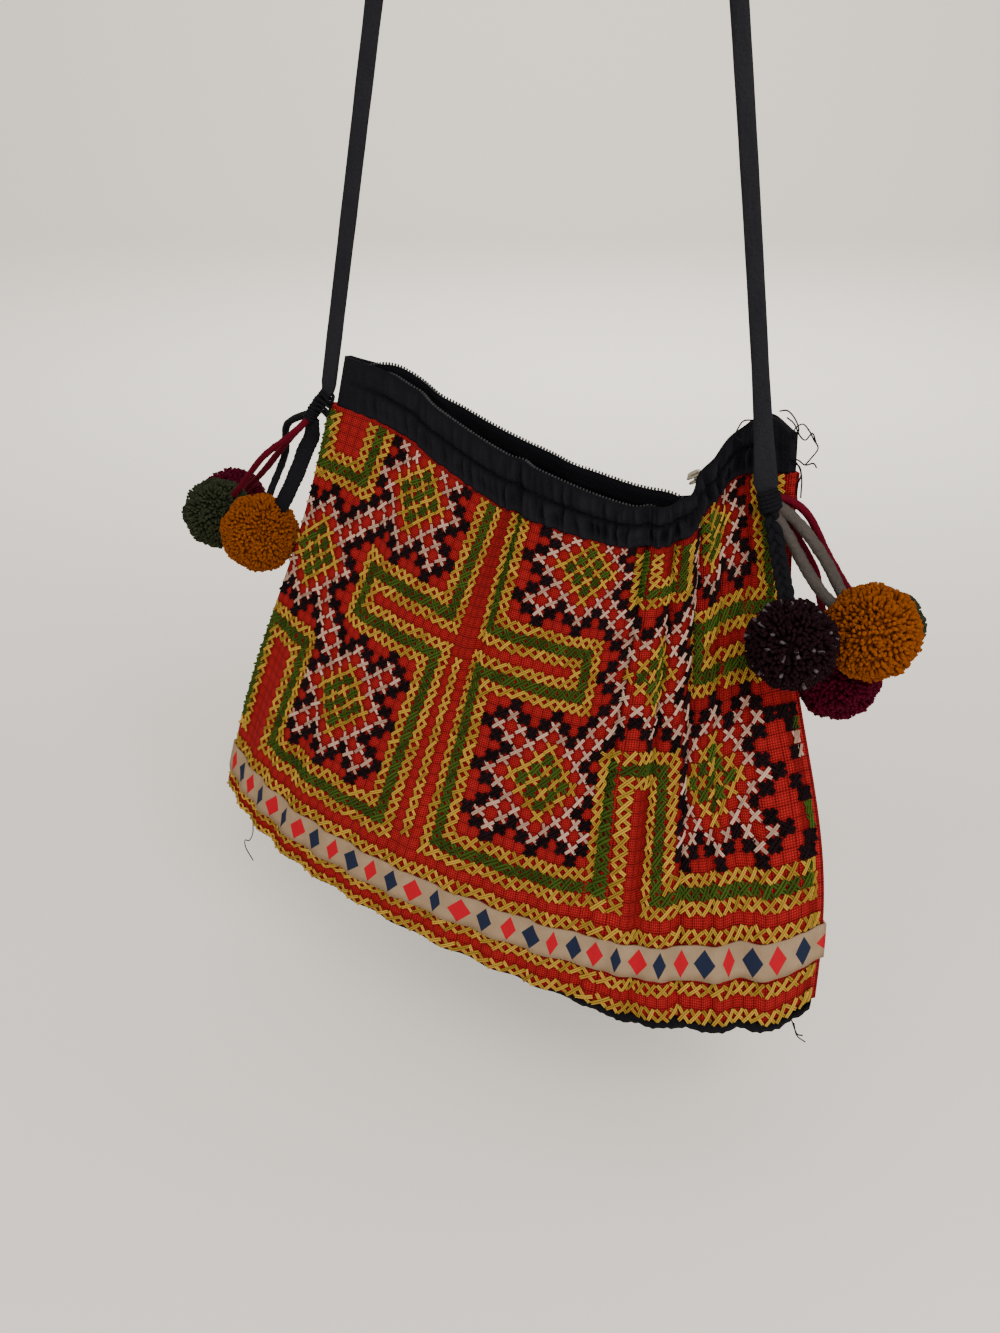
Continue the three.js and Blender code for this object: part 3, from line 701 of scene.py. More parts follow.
def columnPlace(side, column, t):
    column = np.asarray(column, float)
    places = backColumns
    if side < 0:
        places = [np.interp(t, list(columnRows), one) for one in zip(*columnRows.values())]
    place = places[0] + np.zeros(column.shape)
    for one, other, here, there in zip(columnMarks, columnMarks[1:], places, places[1:]):
        place = place + (there - here) * ramp(column, one, other)
    return place


def chartColumn(side, column):  # the back goes on where the front ends
    return column if side < 0 else 2 * cloth["lastColumn"] - column


def chartPoint(side, column, t):
    s = columnPlace(side, column, t)
    v = np.clip(clothHeight(side, s, t), 0, 1)
    return clothAt(side, tucked(s, v) if side < 0 else s, v)


def clothPanel(name, side):
    s = seamToSeam(cloth["perCell"])
    v = np.linspace(0, 1, int(cloth["rows"] * cloth["perRow"]))
    gridS, gridV = crossed(s, v)
    half = np.array([0, side * form["gap"] / 2, 0])
    layers = []
    for off, seamOff in ((0.0, 0.0), (-form["clothWall"], -form["seamRound"])):
        left, right = ((roundedEnd(plainWall, end, v, seamOff) + half)[None] for end in (-1, 1))
        layers.append(placed(np.concatenate([left, clothAt(side, gridS, gridV, off), right])))
    rows = np.linspace(cloth["firstRow"], cloth["firstRow"] + cloth["rows"], cloth["steps"])
    gridT = np.stack([np.interp(v, clothHeight(side, one, rows), rows) for one in s])
    if side < 0:
        gridS = np.stack([np.interp(s, tucked(s, one), s) for one in v], 1)
    columns = np.linspace(leftEnd, cloth["lastColumn"], cloth["steps"])
    atFold = gridT[np.argmin(np.abs(s - cloth["foldAt"]))]
    gridS = np.stack([np.interp(gridS[:, k], columnPlace(side, columns, t), columns)
                      for k, t in enumerate(atFold)], 1)
    gridS = np.concatenate([gridS[:1] - cloth["edge"], gridS, gridS[-1:] + cloth["edge"]])
    gridT = np.concatenate([gridT[:1], gridT, gridT[-1:]])
    uv = np.stack([chartColumn(side, gridS) + 0.5, -gridT + 0.5], -1)
    return shellPiece(name, *layers, uv, finish["red"])


# The chart: one repeat is 42 cells wide. Bars and crosses first, then eight-pointed stars between them.
chart = {"repeat": 42, "arm": 11, "starAcross": 11, "starDown": 10, "starReach": 6, "hem": 20,
         "hemYellow": (21, 25, 27), "bar": ("yellow", "green", "yellow")}
navyCells = {(0, 6), (1, 5), (2, 4), (3, 5), (4, 6), (5, 5)}
whiteCells = {(3, 4), (4, 5)}
redCells = {(1, 6), (2, 6), (3, 6), (2, 5), (5, 6), (3, 3), (4, 4), (6, 6)}
# The front's last columns turn under at the right seam, where ends of another star show.
seamRows = range(4, 17)
seamCells = {
    38: {6: "navy", 11: "navy", 16: "navy"},
    39: {6: "navy", 7: "navy", 9: "navy", 12: "navy", 15: "navy", 16: "navy"},
    40: {7: "navy", 8: "white", 9: "navy", 12: "navy", 13: "green", 15: "navy", 16: "navy"},
    41: {6: "navy", 7: "green", 8: "white", 9: "white", 12: "navy", 13: "green", 14: "green", 15: "navy"},
}
hiddenRows = (22, 23, 24)  # under the ribbon


def starColour(i, j, longArm):  # i and j count cells from the star's middle
    a, b = sorted((abs(i), abs(j)))
    if longArm and a == b and 3 <= a <= 7:
        return "red"
    if longArm and b - a == 1 and 3 <= a <= 6:
        return "white"
    if a + b <= 3:
        return "yellow" if (a + b) % 2 else "green"
    if (a, b) in navyCells:
        return "navy"
    if (a, b) in whiteCells:
        return "white"
    if (a, b) in redCells or a + b == 4:
        return "red"
    return "white" if a + b == 5 else "red"


def cellColour(s, t):
    half, arm, across, down, hem = (chart[key] for key in ("repeat", "arm", "starAcross", "starDown", "hem"))
    half = half // 2
    x = (s + half) % chart["repeat"] - half
    if t > hem:
        return "yellow" if t in chart["hemYellow"] else "red"
    far = abs(x)
    near = min(
        max(0, far - 1),
        max(far - arm, abs(t)),
        max(half - far - 1, down - t, 0),
        max(half - far - 1, t + down, 0),
        hem - t,
    )
    if near == 0:
        return "yellow" if x == 0 and 1 < t < hem - 1 else "red"
    if near <= len(chart["bar"]):
        return chart["bar"][near - 1]
    for cx, cy in ((-across, -down), (-across, down), (across, -down), (across, down), (-half, 0), (half, 0)):
        i, j = x - cx, t - cy
        if max(abs(i), abs(j)) <= chart["starReach"]:
            return starColour(i, j, cy == 0 or (i * cx > 0 and j * cy < 0))
    return "red"


threads = {
    "yellow": {"Reach": 0.47, "Strand": 0.068, "Spread": 0.074, "Rise": 0.1},
    "white": {"Reach": 0.42, "Strand": 0.072, "Spread": 0.068, "Rise": 0.11},
    "green": {"Reach": 0.45, "Strand": 0.1, "Spread": 0.125, "Rise": 0.08},
    "navy": {"Reach": 0.45, "Strand": 0.13, "Spread": 0.14, "Rise": 0.05},
}


def chartedCells(side):
    cells = {}
    for column in range(int(leftEnd), cloth["lastColumn"] + 1):
        for t in range(cloth["firstRow"] + 1, cloth["lastRow"] + 1):
            place = float(columnPlace(side, column, t))
            if t not in hiddenRows and clothHeight(side, place, float(t)) > cloth["underBand"]:
                colour = cellColour(chartColumn(side, column), t)
                if side < 0 and column in seamCells and t in seamRows:
                    colour = seamCells[column].get(t, "red")
                cells.setdefault(colour, []).append((column, t))
    return cells


def stitchStrokes(side, cells, rise):  # two strokes along a cell's diagonals, the second over the first
    proud = 0.25
    column, t = np.array(cells, float).T
    column = np.clip(column, leftEnd + cloth["edge"], cloth["lastColumn"] - cloth["edge"])
    centre = chartPoint(side, column, t)
    run = chartPoint(side, column + 0.5, t) - chartPoint(side, column - 0.5, t)
    drop = chartPoint(side, column, t + 0.5) - chartPoint(side, column, t - 0.5)
    out = np.cross(run, drop) * side
    out /= np.maximum(np.linalg.norm(out, axis=1, keepdims=True), 1e-9)
    size = (np.linalg.norm(run, axis=1) + np.linalg.norm(drop, axis=1)) / 2
    strokes = []
    for level, diagonal in ((0, run + drop), (1, run - drop)):
        cell = np.stack([np.linalg.norm(diagonal, axis=1), size, size], -1) * mm
        place = placed(centre + out * (proud + level * rise * size)[:, None])
        strokes.append((place, unit(diagonal), out, cell))
    return [np.concatenate(part) for part in zip(*strokes)]


panels = {"front": -1, "back": 1}
firstSeed = 20
for name, side in panels.items():
    piece = settle(clothPanel("cloth_" + name, side), "cloth", name + "_panel")
    cells = chartedCells(side)
    for number, (colour, values) in enumerate(threads.items()):
        places, run, out, cell = stitchStrokes(side, cells[colour], values["Rise"])
        points = scatter(colour + "_cells", places, run=run, out=out, cell=cell)
        piece = grow(colour + "_stitches_" + name, points, trees["stitch"], {
            **values, "Seed": firstSeed + number, "Material": finish[colour]})
        settle(piece, "cloth")
        print("stitches", name, colour, len(places), "strokes", len(piece.data.polygons), "faces")
print("cloth done")


# Ribbon, band and base follow the same sections.
def roundTheBag(pick, tip, perCell):  # a strip round the bag from the left seam and back to it
    s = seamToSeam(perCell)
    grid = np.concatenate([tip(-1)[None], pick(-1, s), tip(1)[None], pick(1, s[::-1]), tip(-1)[None]])
    place = np.concatenate([[leftEnd - 0.5], s, [rightEnd + 0.5], 2 * rightEnd + 1 - s[::-1],
                            [2 * rightEnd + 1.5 - leftEnd]])
    return grid, place


ribbon = {"rows": 5, "perCell": 4, "pucker": 0.22, "puckerPitch": 2.1, "puckerDrift": 1.2, "sunk": 0.1,
          "width": 0.0155, "slot": "ribbon"}
acrossRibbon = np.linspace(form["ribbonTop"], form["ribbonFoot"], ribbon["rows"])


def ribbonGrid(off):
    def pick(side, s):
        gridS, gridV = crossed(s, acrossRibbon)
        drift = ribbon["puckerDrift"] * np.sin(gridS)
        wave = ribbon["pucker"] * np.sin(2 * np.pi * gridS / ribbon["puckerPitch"] + drift)
        return wallPoint(side, gridS, gridV + sagAt(gridS), off + wave)

    def tip(end):
        return roundedEnd(plainWall, end, acrossRibbon + (form["ribbonSag"] if end < 0 else 0), off)

    return roundTheBag(pick, tip, ribbon["perCell"])


outer, alongStrip = ribbonGrid(form["ribbonLift"] + form["ribbonThick"])
inner, _ = ribbonGrid(form["ribbonLift"] - ribbon["sunk"])
uv = uvGrid(alongStrip, np.linspace(0, 1, ribbon["rows"]))
piece = shellPiece("ribbon_strip", placed(outer), placed(inner), uv, finish["ribbon"])
settle(piece, ribbon["slot"], "hem_ribbon")
ribbonLong = pathLength(placed(outer[:, 2]))
print("ribbon", round(ribbonLong, 3), "m long")

# leftIn and rightIn: how far the band's ends stand in at the foot, and how much further at the rim.
band = {"leftIn": (4, 6), "rightIn": (1.5, 1), "inPower": 5, "rimLean": 1.2, "puff": 0.8, "endReach": 5,
        "channel": 1.2, "groove": 0.8, "grooveHalf": 0.06, "gather": 2.0, "pucker": 2.3, "hemOff": 1.7,
        "hemDrop": 0.9, "hemReach": 0.1, "rows": 25, "perCell": 6, "slot": "black_cotton"}
middleCell = (leftEnd + rightEnd) / 2


def bandPoint(side, s, rise, off=0.0):
    s, rise = np.broadcast_arrays(np.asarray(s, float), np.asarray(rise, float))
    flat = np.zeros_like(s)
    wall = wallPoint(side, s, flat)
    far = ((s - middleCell) / (rightEnd - middleCell)) ** band["inPower"]
    inward = np.where(far[..., None] < 0, band["leftIn"], band["rightIn"])
    wall[..., 0] -= far * (inward[..., 0] + inward[..., 1] * rise)
    wall[..., 2] += form["gap"] + along("band", s) * rise
    puff = band["puff"] * np.sin(np.pi * rise) - band["rimLean"] * rise
    return wall + outOf(side, s, flat) * (off + puff * nearEnds(s, band["endReach"]))[..., None]


def bandPucker(s, rise):  # uneven gathers out of a few sines
    turns = 2 * np.pi * s / band["pucker"]
    first = np.sin(turns + 1.9 * np.sin(0.9 * s) + 1.2 * np.sin(5 * rise + 1.3 * s))
    second = np.sin(turns / 0.45 + 1.5 * np.sin(1.7 * s) + 3 * rise)
    return 0.7 * first + 0.35 * second


def bandDress(s, rise):  # two soft channels, puckered most in the lower one, and a hem off the cloth
    lobe = np.abs(np.sin(2 * np.pi * rise)) ** 0.6
    more = (0.5 + 0.5 * ramp(s, -6, 6)) * np.where(rise < 0.5, 1.0, 0.6)
    gathers = band["gather"] * more * bandPucker(s, rise) * lobe
    groove = band["groove"] * bell(rise, 0.5, band["grooveHalf"])
    hem = band["hemOff"] * bell(rise, 0, band["hemReach"])
    return nearEnds(s, band["endReach"]) * (band["channel"] * (lobe - 0.9) - groove + gathers + hem)


downBand = np.linspace(1, 0, band["rows"])


def bandGrid(off, dressed):
    def pick(side, s):
        gridS, gridR = crossed(s, downBand)
        if not dressed:
            return bandPoint(side, gridS, gridR, off)
        points = bandPoint(side, gridS, gridR, off + bandDress(gridS, gridR))
        scallop = band["hemDrop"] * (1 + 0.6 * bandPucker(gridS, 0 * gridR))
        points[..., 2] -= scallop * bell(gridR, 0, band["hemReach"])
        return points

    def tip(end):
        return roundedEnd(bandPoint, end, downBand, off)

    return roundTheBag(pick, tip, band["perCell"])


outer, alongStrip = bandGrid(0.0, True)
inner, _ = bandGrid(-form["bandWall"], False)
uv = uvGrid(alongStrip, downBand * weaveSize)
piece = shellPiece("band_cloth", placed(outer), placed(inner), uv, finish["band"])
# Painted shade: the band's pucker relief, kept on the mesh as a tone, lighter on the ridges and darker in the
# valleys and the groove.
relief = bandDress(*crossed(np.minimum(alongStrip, 2 * rightEnd + 1 - alongStrip), downBand))
paintedRidgeShade = np.clip(0.55 + relief / band["gather"] / 2, 0, 1).ravel()
shade = piece.data.attributes.new("shade", "FLOAT", "POINT")
shade.data.foreach_set("value", np.concatenate([paintedRidgeShade, paintedRidgeShade]))
settle(piece, band["slot"], "top_band")
print("band", len(piece.data.polygons), "faces")


def evenRow(lineOf, first, last, pitch):  # places at an even pitch along a line given by s
    step, count = 0.05, 800
    fine = np.linspace(first, last, count)
    far = reachAlong(lineOf(fine))
    s = np.interp(np.arange(pitch / 2, far[-1], pitch), far, fine)
    return s, lineOf(s), unit(lineOf(np.minimum(s + step, last)) - lineOf(np.maximum(s - step, first)))


def growRow(name, places, run, out, row, material):
    points = scatter(name + "_places", placed(places), run=run, out=out)
    values = {"Size": [x * mm for x in row["size"]], "Seed": row["seed"], "Material": material}
    return settle(grow(name, points, trees["row"], values), row["slot"])


topstitch = {"pitch": 2.7, "size": (0.95, 0.26, 0.22), "rise": 0.5, "proud": 0.15, "inset": 1, "seed": 31,
             "slot": "black_cotton"}


def topstitchLine(side, s):
    rise = 0 * s + topstitch["rise"]
    return bandPoint(side, s, rise, bandDress(s, rise) + topstitch["proud"])


rows = []
for side in (-1, 1):
    s, places, run = evenRow(lambda s: topstitchLine(side, s), leftEnd + topstitch["inset"],
                             rightEnd - topstitch["inset"], topstitch["pitch"])
    rows.append((places, run, outOf(side, s, 0 * s)))
growRow("band_topstitch", *(np.concatenate(column) for column in zip(*rows)), topstitch, finish["black"])

# Open zip: a tape inside each rim, teeth along its edge, the slider at the right.
zipper = {"first": -22.5, "last": 21.8, "ramp": 5, "sunk": 6, "inside": 3.05, "tapeThick": 0.7, "foot": -6,
          "top": 3.4, "tapeSteps": (120, 4), "slot": "zip"}
teeth = {"pitch": 1.5, "size": (0.4, 0.85, 0.75), "height": 3.9, "seed": 41, "slot": "zip"}
zipHalves = {"zip_front": {"side": -1, "lower": 4.5}, "zip_back": {"side": 1, "lower": 1}}


def zipLine(half, s, inward, height):
    line = bandPoint(half["side"], s, 0 * s + 1, 0 * s - inward)
    rise = nearEnds(s, zipper["ramp"], zipper["first"], zipper["last"])
    line[..., 2] += height - half["lower"] - zipper["sunk"] * (1 - rise) ** 2
    return line


for node, half in zipHalves.items():
    s = np.linspace(zipper["first"], zipper["last"], zipper["tapeSteps"][0])
    high = np.linspace(zipper["foot"], zipper["top"], zipper["tapeSteps"][1])
    faces = [placed(np.stack([zipLine(half, s, zipper["inside"] + deep, h) for h in high], 1))
             for deep in (0, zipper["tapeThick"])]
    tape = shellPiece(node + "_tape", *faces, uvGrid(s, high / weaveSize), finish["tape"])
    settle(tape, zipper["slot"], node)
    middle = zipper["inside"] + zipper["tapeThick"] / 2
    s, places, run = evenRow(lambda s: zipLine(half, s, middle, teeth["height"]), zipper["first"],
                             zipper["last"], teeth["pitch"])
    growRow(node + "_teeth", places, run, np.tile([0.0, 0.0, 1.0], (len(s), 1)), teeth, finish["coil"])
    print("zip", node, len(s), "teeth")

slider = {"at": 23.2, "back": 2.8, "lift": 5, "long": 6.6, "across": 4.8, "tail": 0.62, "plate": 0.9,
          "apart": 1.2, "bevel": 0.2, "bevelSize": 0.9, "square": 0.55, "sides": 28, "neckSides": 12,
          "neck": (1.1, 0.7), "neckAt": 0.4, "neckLevels": (0.7, 2.3), "archSize": (0.9, 0.55),
          "slot": "slider"}
sliderArch = [(-1.9, 0, 2.9), (-1.4, 0, 3.5), (0.5, 0, 3.7), (2.2, 0, 3.5), (2.6, 0, 2.9)]


def sliderBodies():  # two plates with wide shoulders and a narrow tail, a neck between them, an arch on top
    angle, turn = circle(slider["sides"]), circle(slider["neckSides"])
    long, across = slider["long"] / 2, slider["across"] / 2
    reach = across * (slider["tail"] + (1 - slider["tail"]) * (np.cos(angle) + 1) / 2)
    outline = np.stack([long * np.cos(angle), reach * squared(np.sin(angle), slider["square"])], -1)

    def stack(shape, levels):
        return np.array([np.column_stack([shape * size, np.full(len(shape), high)]) for high, size in levels])

    bodies = []
    small, bevel = slider["bevelSize"], slider["bevel"]
    for low in (0.0, slider["plate"] + slider["apart"]):
        top = low + slider["plate"]
        bodies.append(stack(outline, ((low, small), (low + bevel, 1), (top - bevel, 1), (top, small))))
    neckLong, neckWide = slider["neck"]
    neck = np.stack([slider["neckAt"] + neckLong * np.cos(turn), neckWide * np.sin(turn)], -1)
    bodies.append(stack(neck, [(level, 1) for level in slider["neckLevels"]]))
    bodies.append(tubeRings(smoothPath(sliderArch, 20), *slider["archSize"], 8, up=(0, 1, 0)))
    return bodies


def mouthMiddle(s):
    place, rim = np.array([s]), np.array([1.0])
    return (bandPoint(-1, place, rim) + bandPoint(1, place, rim))[0] / 2


ahead = unit(mouthMiddle(slider["at"] + 1) - mouthMiddle(slider["at"] - 1))
sideways = unit(np.cross((0, 0, 1), ahead))
axes = np.stack([ahead, sideways, np.cross(ahead, sideways)])
sliderPlace = mouthMiddle(slider["at"]) + np.array([0, slider["back"], slider["lift"]])
bodies = [loftPiece("slider_body", placed(sliderPlace + rings @ axes), np.zeros(rings.shape[:2] + (2,)),
                    finish["metal"]) for rings in sliderBodies()]
settle(joined("slider_metal", bodies), slider["slot"], "zip_slider")

base = {"thick": 1.6, "peek": 3.4, "inset": 1.4, "peekFrom": 14, "peekTo": 22, "backOff": 0.2, "steps": 190,
        "rows": 9, "uneven": 0.25, "uvDeep": 16, "flat": (0.31, 0.085), "slot": "black_cotton"}


def baseGrid(drop):
    s = np.linspace(leftEnd, rightEnd, base["steps"])
    uneven = 1 + base["uneven"] * np.sin(5.1 * s) * np.sin(2.3 * s)
    peek = base["peek"] * ramp(s, base["peekFrom"], base["peekTo"]) * uneven - base["inset"]
    front, back = wallPoint(-1, s, 1, peek), wallPoint(1, s, 1, base["backOff"])
    f = np.linspace(0, 1, base["rows"])[None, :, None]
    grid = front[:, None] * (1 - f) + back[:, None] * f
    grid[..., 2] -= 2 * form["gap"] + drop
    return s, grid


s, lowGrid = baseGrid(base["thick"])
_, highGrid = baseGrid(0)
uv = uvGrid(s, np.linspace(0, base["uvDeep"], base["rows"]))
piece = shellPiece("base_cloth", placed(lowGrid), placed(highGrid), uv, finish["black"])
settle(piece, base["slot"], "base_panel")
print("base done")

# Strap: a sewn flat tube from tie to tie over the hook.
strap = {"left": (-111.5, 0, 3), "right": (97.2, -10.8, -5), "leftTip": (-114, -0.6, -1),
         "rightTip": (99, -11.3, -12), "bow": 2, "hookRound": 8, "wide": 7.8, "thick": 3, "sides": 20,
         "twistFrom": 200, "twistTo": 385, "flare": 0.22, "flareReach": 30, "waist": 0.16, "waistReach": 40,
         "waistFrom": 200, "waistTo": 350, "tipReach": 7, "tipSize": 0.6, "climbSteps": 150, "overSteps": 25,
         "tipSteps": 9, "squareWide": 0.6, "squareThick": 0.8, "crease": 0.22, "creaseSize": 4.2,
         "creaseLean": 2.5, "wobble": 0.2, "wobbleSize": 17, "wobbleSeed": 5, "seam": 0.35, "seamAt": 4.3,
         "seamHalf": 0.16, "relief": 0.8, "slot": "black_cotton"}


def strapPath():
    top = form["hangDrop"] - strap["hookRound"]
    reach = strap["hookRound"] + strap["thick"] / 2

    def climb(foot, end):
        f = np.linspace(0, 1, strap["climbSteps"])
        bow = strap["bow"] * 4 * f * (1 - f) * (end > 0)
        return np.stack([foot[0] + (end * reach - foot[0]) * f + bow, foot[1] * (1 - f) ** 2,
                         foot[2] + (top - foot[2]) * f], -1)

    angle = np.linspace(np.pi, 0, strap["overSteps"])[1:-1]
    over = np.stack([reach * np.cos(angle), 0 * angle, top + reach * np.sin(angle)], -1)
    leftTip = np.linspace(strap["leftTip"], strap["left"], strap["tipSteps"])
    rightTip = np.linspace(strap["right"], strap["rightTip"], strap["tipSteps"])
    return np.concatenate([leftTip[:-1], climb(strap["left"], -1), over, climb(strap["right"], 1)[::-1],
                           rightTip[1:]])


def strapPiece(path):
    run = unit(np.gradient(path, axis=0))
    high = path[:, 2]
    first = np.arange(len(path)) < len(path) / 2
    f = ramp(high, strap["twistFrom"], strap["twistTo"])
    turn = np.pi / 2 * f * f * (3 - 2 * f)
    sign = np.where(first | (run[:, 2] >= 0), 1, -1)
    wide = np.stack([sign * np.cos(turn), np.sin(turn), 0 * turn], -1)
    wide = unit(wide - run * np.einsum("ij,ij->i", wide, run)[:, None])
    flat = np.cross(run, wide)
    foot = strap["right"][2]
    low = (1 - ramp(high, foot, foot + strap["flareReach"])) ** 2
    tipHigh = np.where(first, strap["leftTip"][2], strap["rightTip"][2])
    tip = ramp(high, tipHigh, tipHigh + strap["tipReach"])
    waist = ramp(high, foot, foot + strap["waistReach"])
    waist = waist * (1 - ramp(high, strap["waistFrom"], strap["waistTo"]))
    flare = 1 + np.where(first, 0, strap["flare"] * low - strap["waist"] * waist)
    flare = flare * (strap["tipSize"] + (1 - strap["tipSize"]) * tip)
    angle = circle(strap["sides"])
    x = squared(np.cos(angle), strap["squareWide"]) * strap["wide"] / 2
    y = squared(np.sin(angle), strap["squareThick"]) * strap["thick"] / 2
    leaning = path[:, 2:] / strap["creaseSize"] + strap["creaseLean"] * np.cos(2 * angle)
    wobble = strap["wobble"] * waves(path, strap["wobbleSize"], strap["wobbleSeed"])
    crease = strap["crease"] * np.sin(leaning) + wobble[:, None]
    seam = -strap["seam"] * bell(angle, strap["seamAt"], strap["seamHalf"])
    y = y * (1 + (crease + seam) / (strap["thick"] / 2) * strap["relief"])
    rings = path[:, None] + wide[:, None] * (x * flare[:, None])[..., None] + flat[:, None] * y[..., None]
    return loftPiece("strap_tube", placed(rings), tubeUv(path / weaveSize, strap["sides"]), finish["strap"])


path = strapPath()
settle(strapPiece(path), strap["slot"], "strap")
print("strap", round(pathLength(path) * mm, 3), "m long")

# Ties: thread wound round the strap's two ends.
ties = {
    "left_tie": {"route": [(-112.8, 0, 1.2), (-115.5, -1, -2.5), (-118.5, -2.5, -7), (-121, -4, -11.5)],
                 "widths": (2.8, 3.3, 3.3, 3.2), "turns": 11, "thread": 0.75},
    "right_tie": {"route": [(98.2, -11, -8.4), (99.6, -11.4, -12), (101.2, -12, -15.8)],
                  "widths": (4.4, 4.9, 4.4), "turns": 5, "thread": 1.0},
}
winding = {"coreSteps": 40, "coreIn": 0.9, "coreSides": 14, "perTurn": 22, "threadSides": 7, "uneven": 0.05,
           "unevenSize": 3.1}


def spread(values, count):  # a few values, evenly set out over many steps
    return np.interp(np.linspace(0, 1, count), np.linspace(0, 1, len(values)), values)


for name, tie in ties.items():
    core = smoothPath(tie["route"], winding["coreSteps"])
    inside = plainTube(name + "_core", core, spread(tie["widths"], len(core)) - winding["coreIn"],
                       winding["coreSides"], finish["black"])
    line = smoothPath(tie["route"], tie["turns"] * winding["perTurn"])
    angle = np.linspace(0, 2 * np.pi * tie["turns"], len(line))
    wound = spread(tie["widths"], len(line)) - tie["thread"]
    wound = wound * (1 + winding["uneven"] * np.sin(angle / winding["unevenSize"]))
    coil = around(line, wound * np.cos(angle), wound * np.sin(angle))
    outside = plainTube(name + "_thread", coil, tie["thread"], winding["threadSides"], finish["black"])
    settle(joined(name + "_wound", [inside, outside]), "black_cotton", name)

# Pompoms: a head of blunt locks, hidden by cut yarn ends.
yarn = {"apart": 0.95, "strand": 0.56, "length": 3.6, "proud": 0.2, "tilt": 0.42, "core": 1.1,
        "lockCount": 26, "lockSpread": 0.46, "head": 0.86, "seed": 50}
pompoms = {
    "pompom_left_green": {"centre": (-185, -2, -69), "radius": 16.5, "turn": 0.2, "yarn": "Green"},
    "pompom_left_mustard": {"centre": (-143.5, -20, -66), "radius": 17.5, "turn": 1.1, "yarn": "Mustard"},
    "pompom_left_maroon": {"centre": (-202.5, 30, -76), "radius": 17, "turn": 2.3, "yarn": "Maroon"},
    "pompom_right_plum": {"centre": (122, -45, -52.5), "radius": 15.7, "turn": 0.7, "yarn": "Plum"},
    "pompom_right_mustard": {"centre": (145.5, -20, -53), "radius": 17, "turn": 1.9, "yarn": "Mustard"},
    "pompom_right_maroon": {"centre": (133, -4, -83), "radius": 15.8, "turn": 2.8, "yarn": "Maroon"},
    "pompom_right_green": {"centre": (142.5, 25, -71.5), "radius": 16.4, "turn": 3.6, "yarn": "Green"},
}


def pompomHead(name, one, shrink, material):
    k = np.arange(yarn["lockCount"])
    z = 1 - 2 * (k + 0.5) / yarn["lockCount"]
    angle = one["turn"] + k * np.pi * (3 - math.sqrt(5))
    locks = np.stack([np.sqrt(1 - z * z) * np.cos(angle), np.sqrt(1 - z * z) * np.sin(angle), z], -1)
    bpy.ops.mesh.primitive_ico_sphere_add(subdivisions=4, radius=1)
    ball = bpy.context.active_object
    out = unit(np.array([vertex.co[:] for vertex in ball.data.vertices]))
    near = np.arccos(np.clip((out @ locks.T).max(1), -1, 1))
    lump = np.maximum(0, 1 - (near / yarn["lockSpread"]) ** 2)
    places = out * (one["radius"] * (yarn["head"] + (1 - yarn["head"]) * lump) - shrink)[:, None]
    ball.data.vertices.foreach_set("co", placed(places + np.array(one["centre"])).ravel())
    ball.data.materials.append(material)
    ball.data.polygons.foreach_set("use_smooth", [True] * len(ball.data.polygons))
    ball.data.update()
    ball.name = name
    return ball


for number, (name, one) in enumerate(pompoms.items()):
    dye = finish["yarn" + one["yarn"]]
    # The head stands for the yarn inside; it carries no strand tone, so it comes out in the yarn's darker
    # colour: painted shade in the gaps between the cut ends.
    inside = pompomHead(name + "_core", one, yarn["core"], dye)
    source = pompomHead(name + "_skin", one, yarn["length"] / 2 - yarn["proud"], dye)
    ends = grow(name + "_ends", source, trees["yarn"], {
        "Apart": yarn["apart"] * mm, "Strand": yarn["strand"] * mm, "Length": yarn["length"] * mm,
        "Tilt": yarn["tilt"], "Seed": yarn["seed"] + number, "Material": dye})
    ends.data.materials.clear()
    ends.data.materials.append(dye)
    piece = joined(name + "_yarn", [ends, inside])
    settle(piece, one["yarn"].lower() + "_yarn", name)
    print("pompom", name, len(piece.data.polygons), "faces")

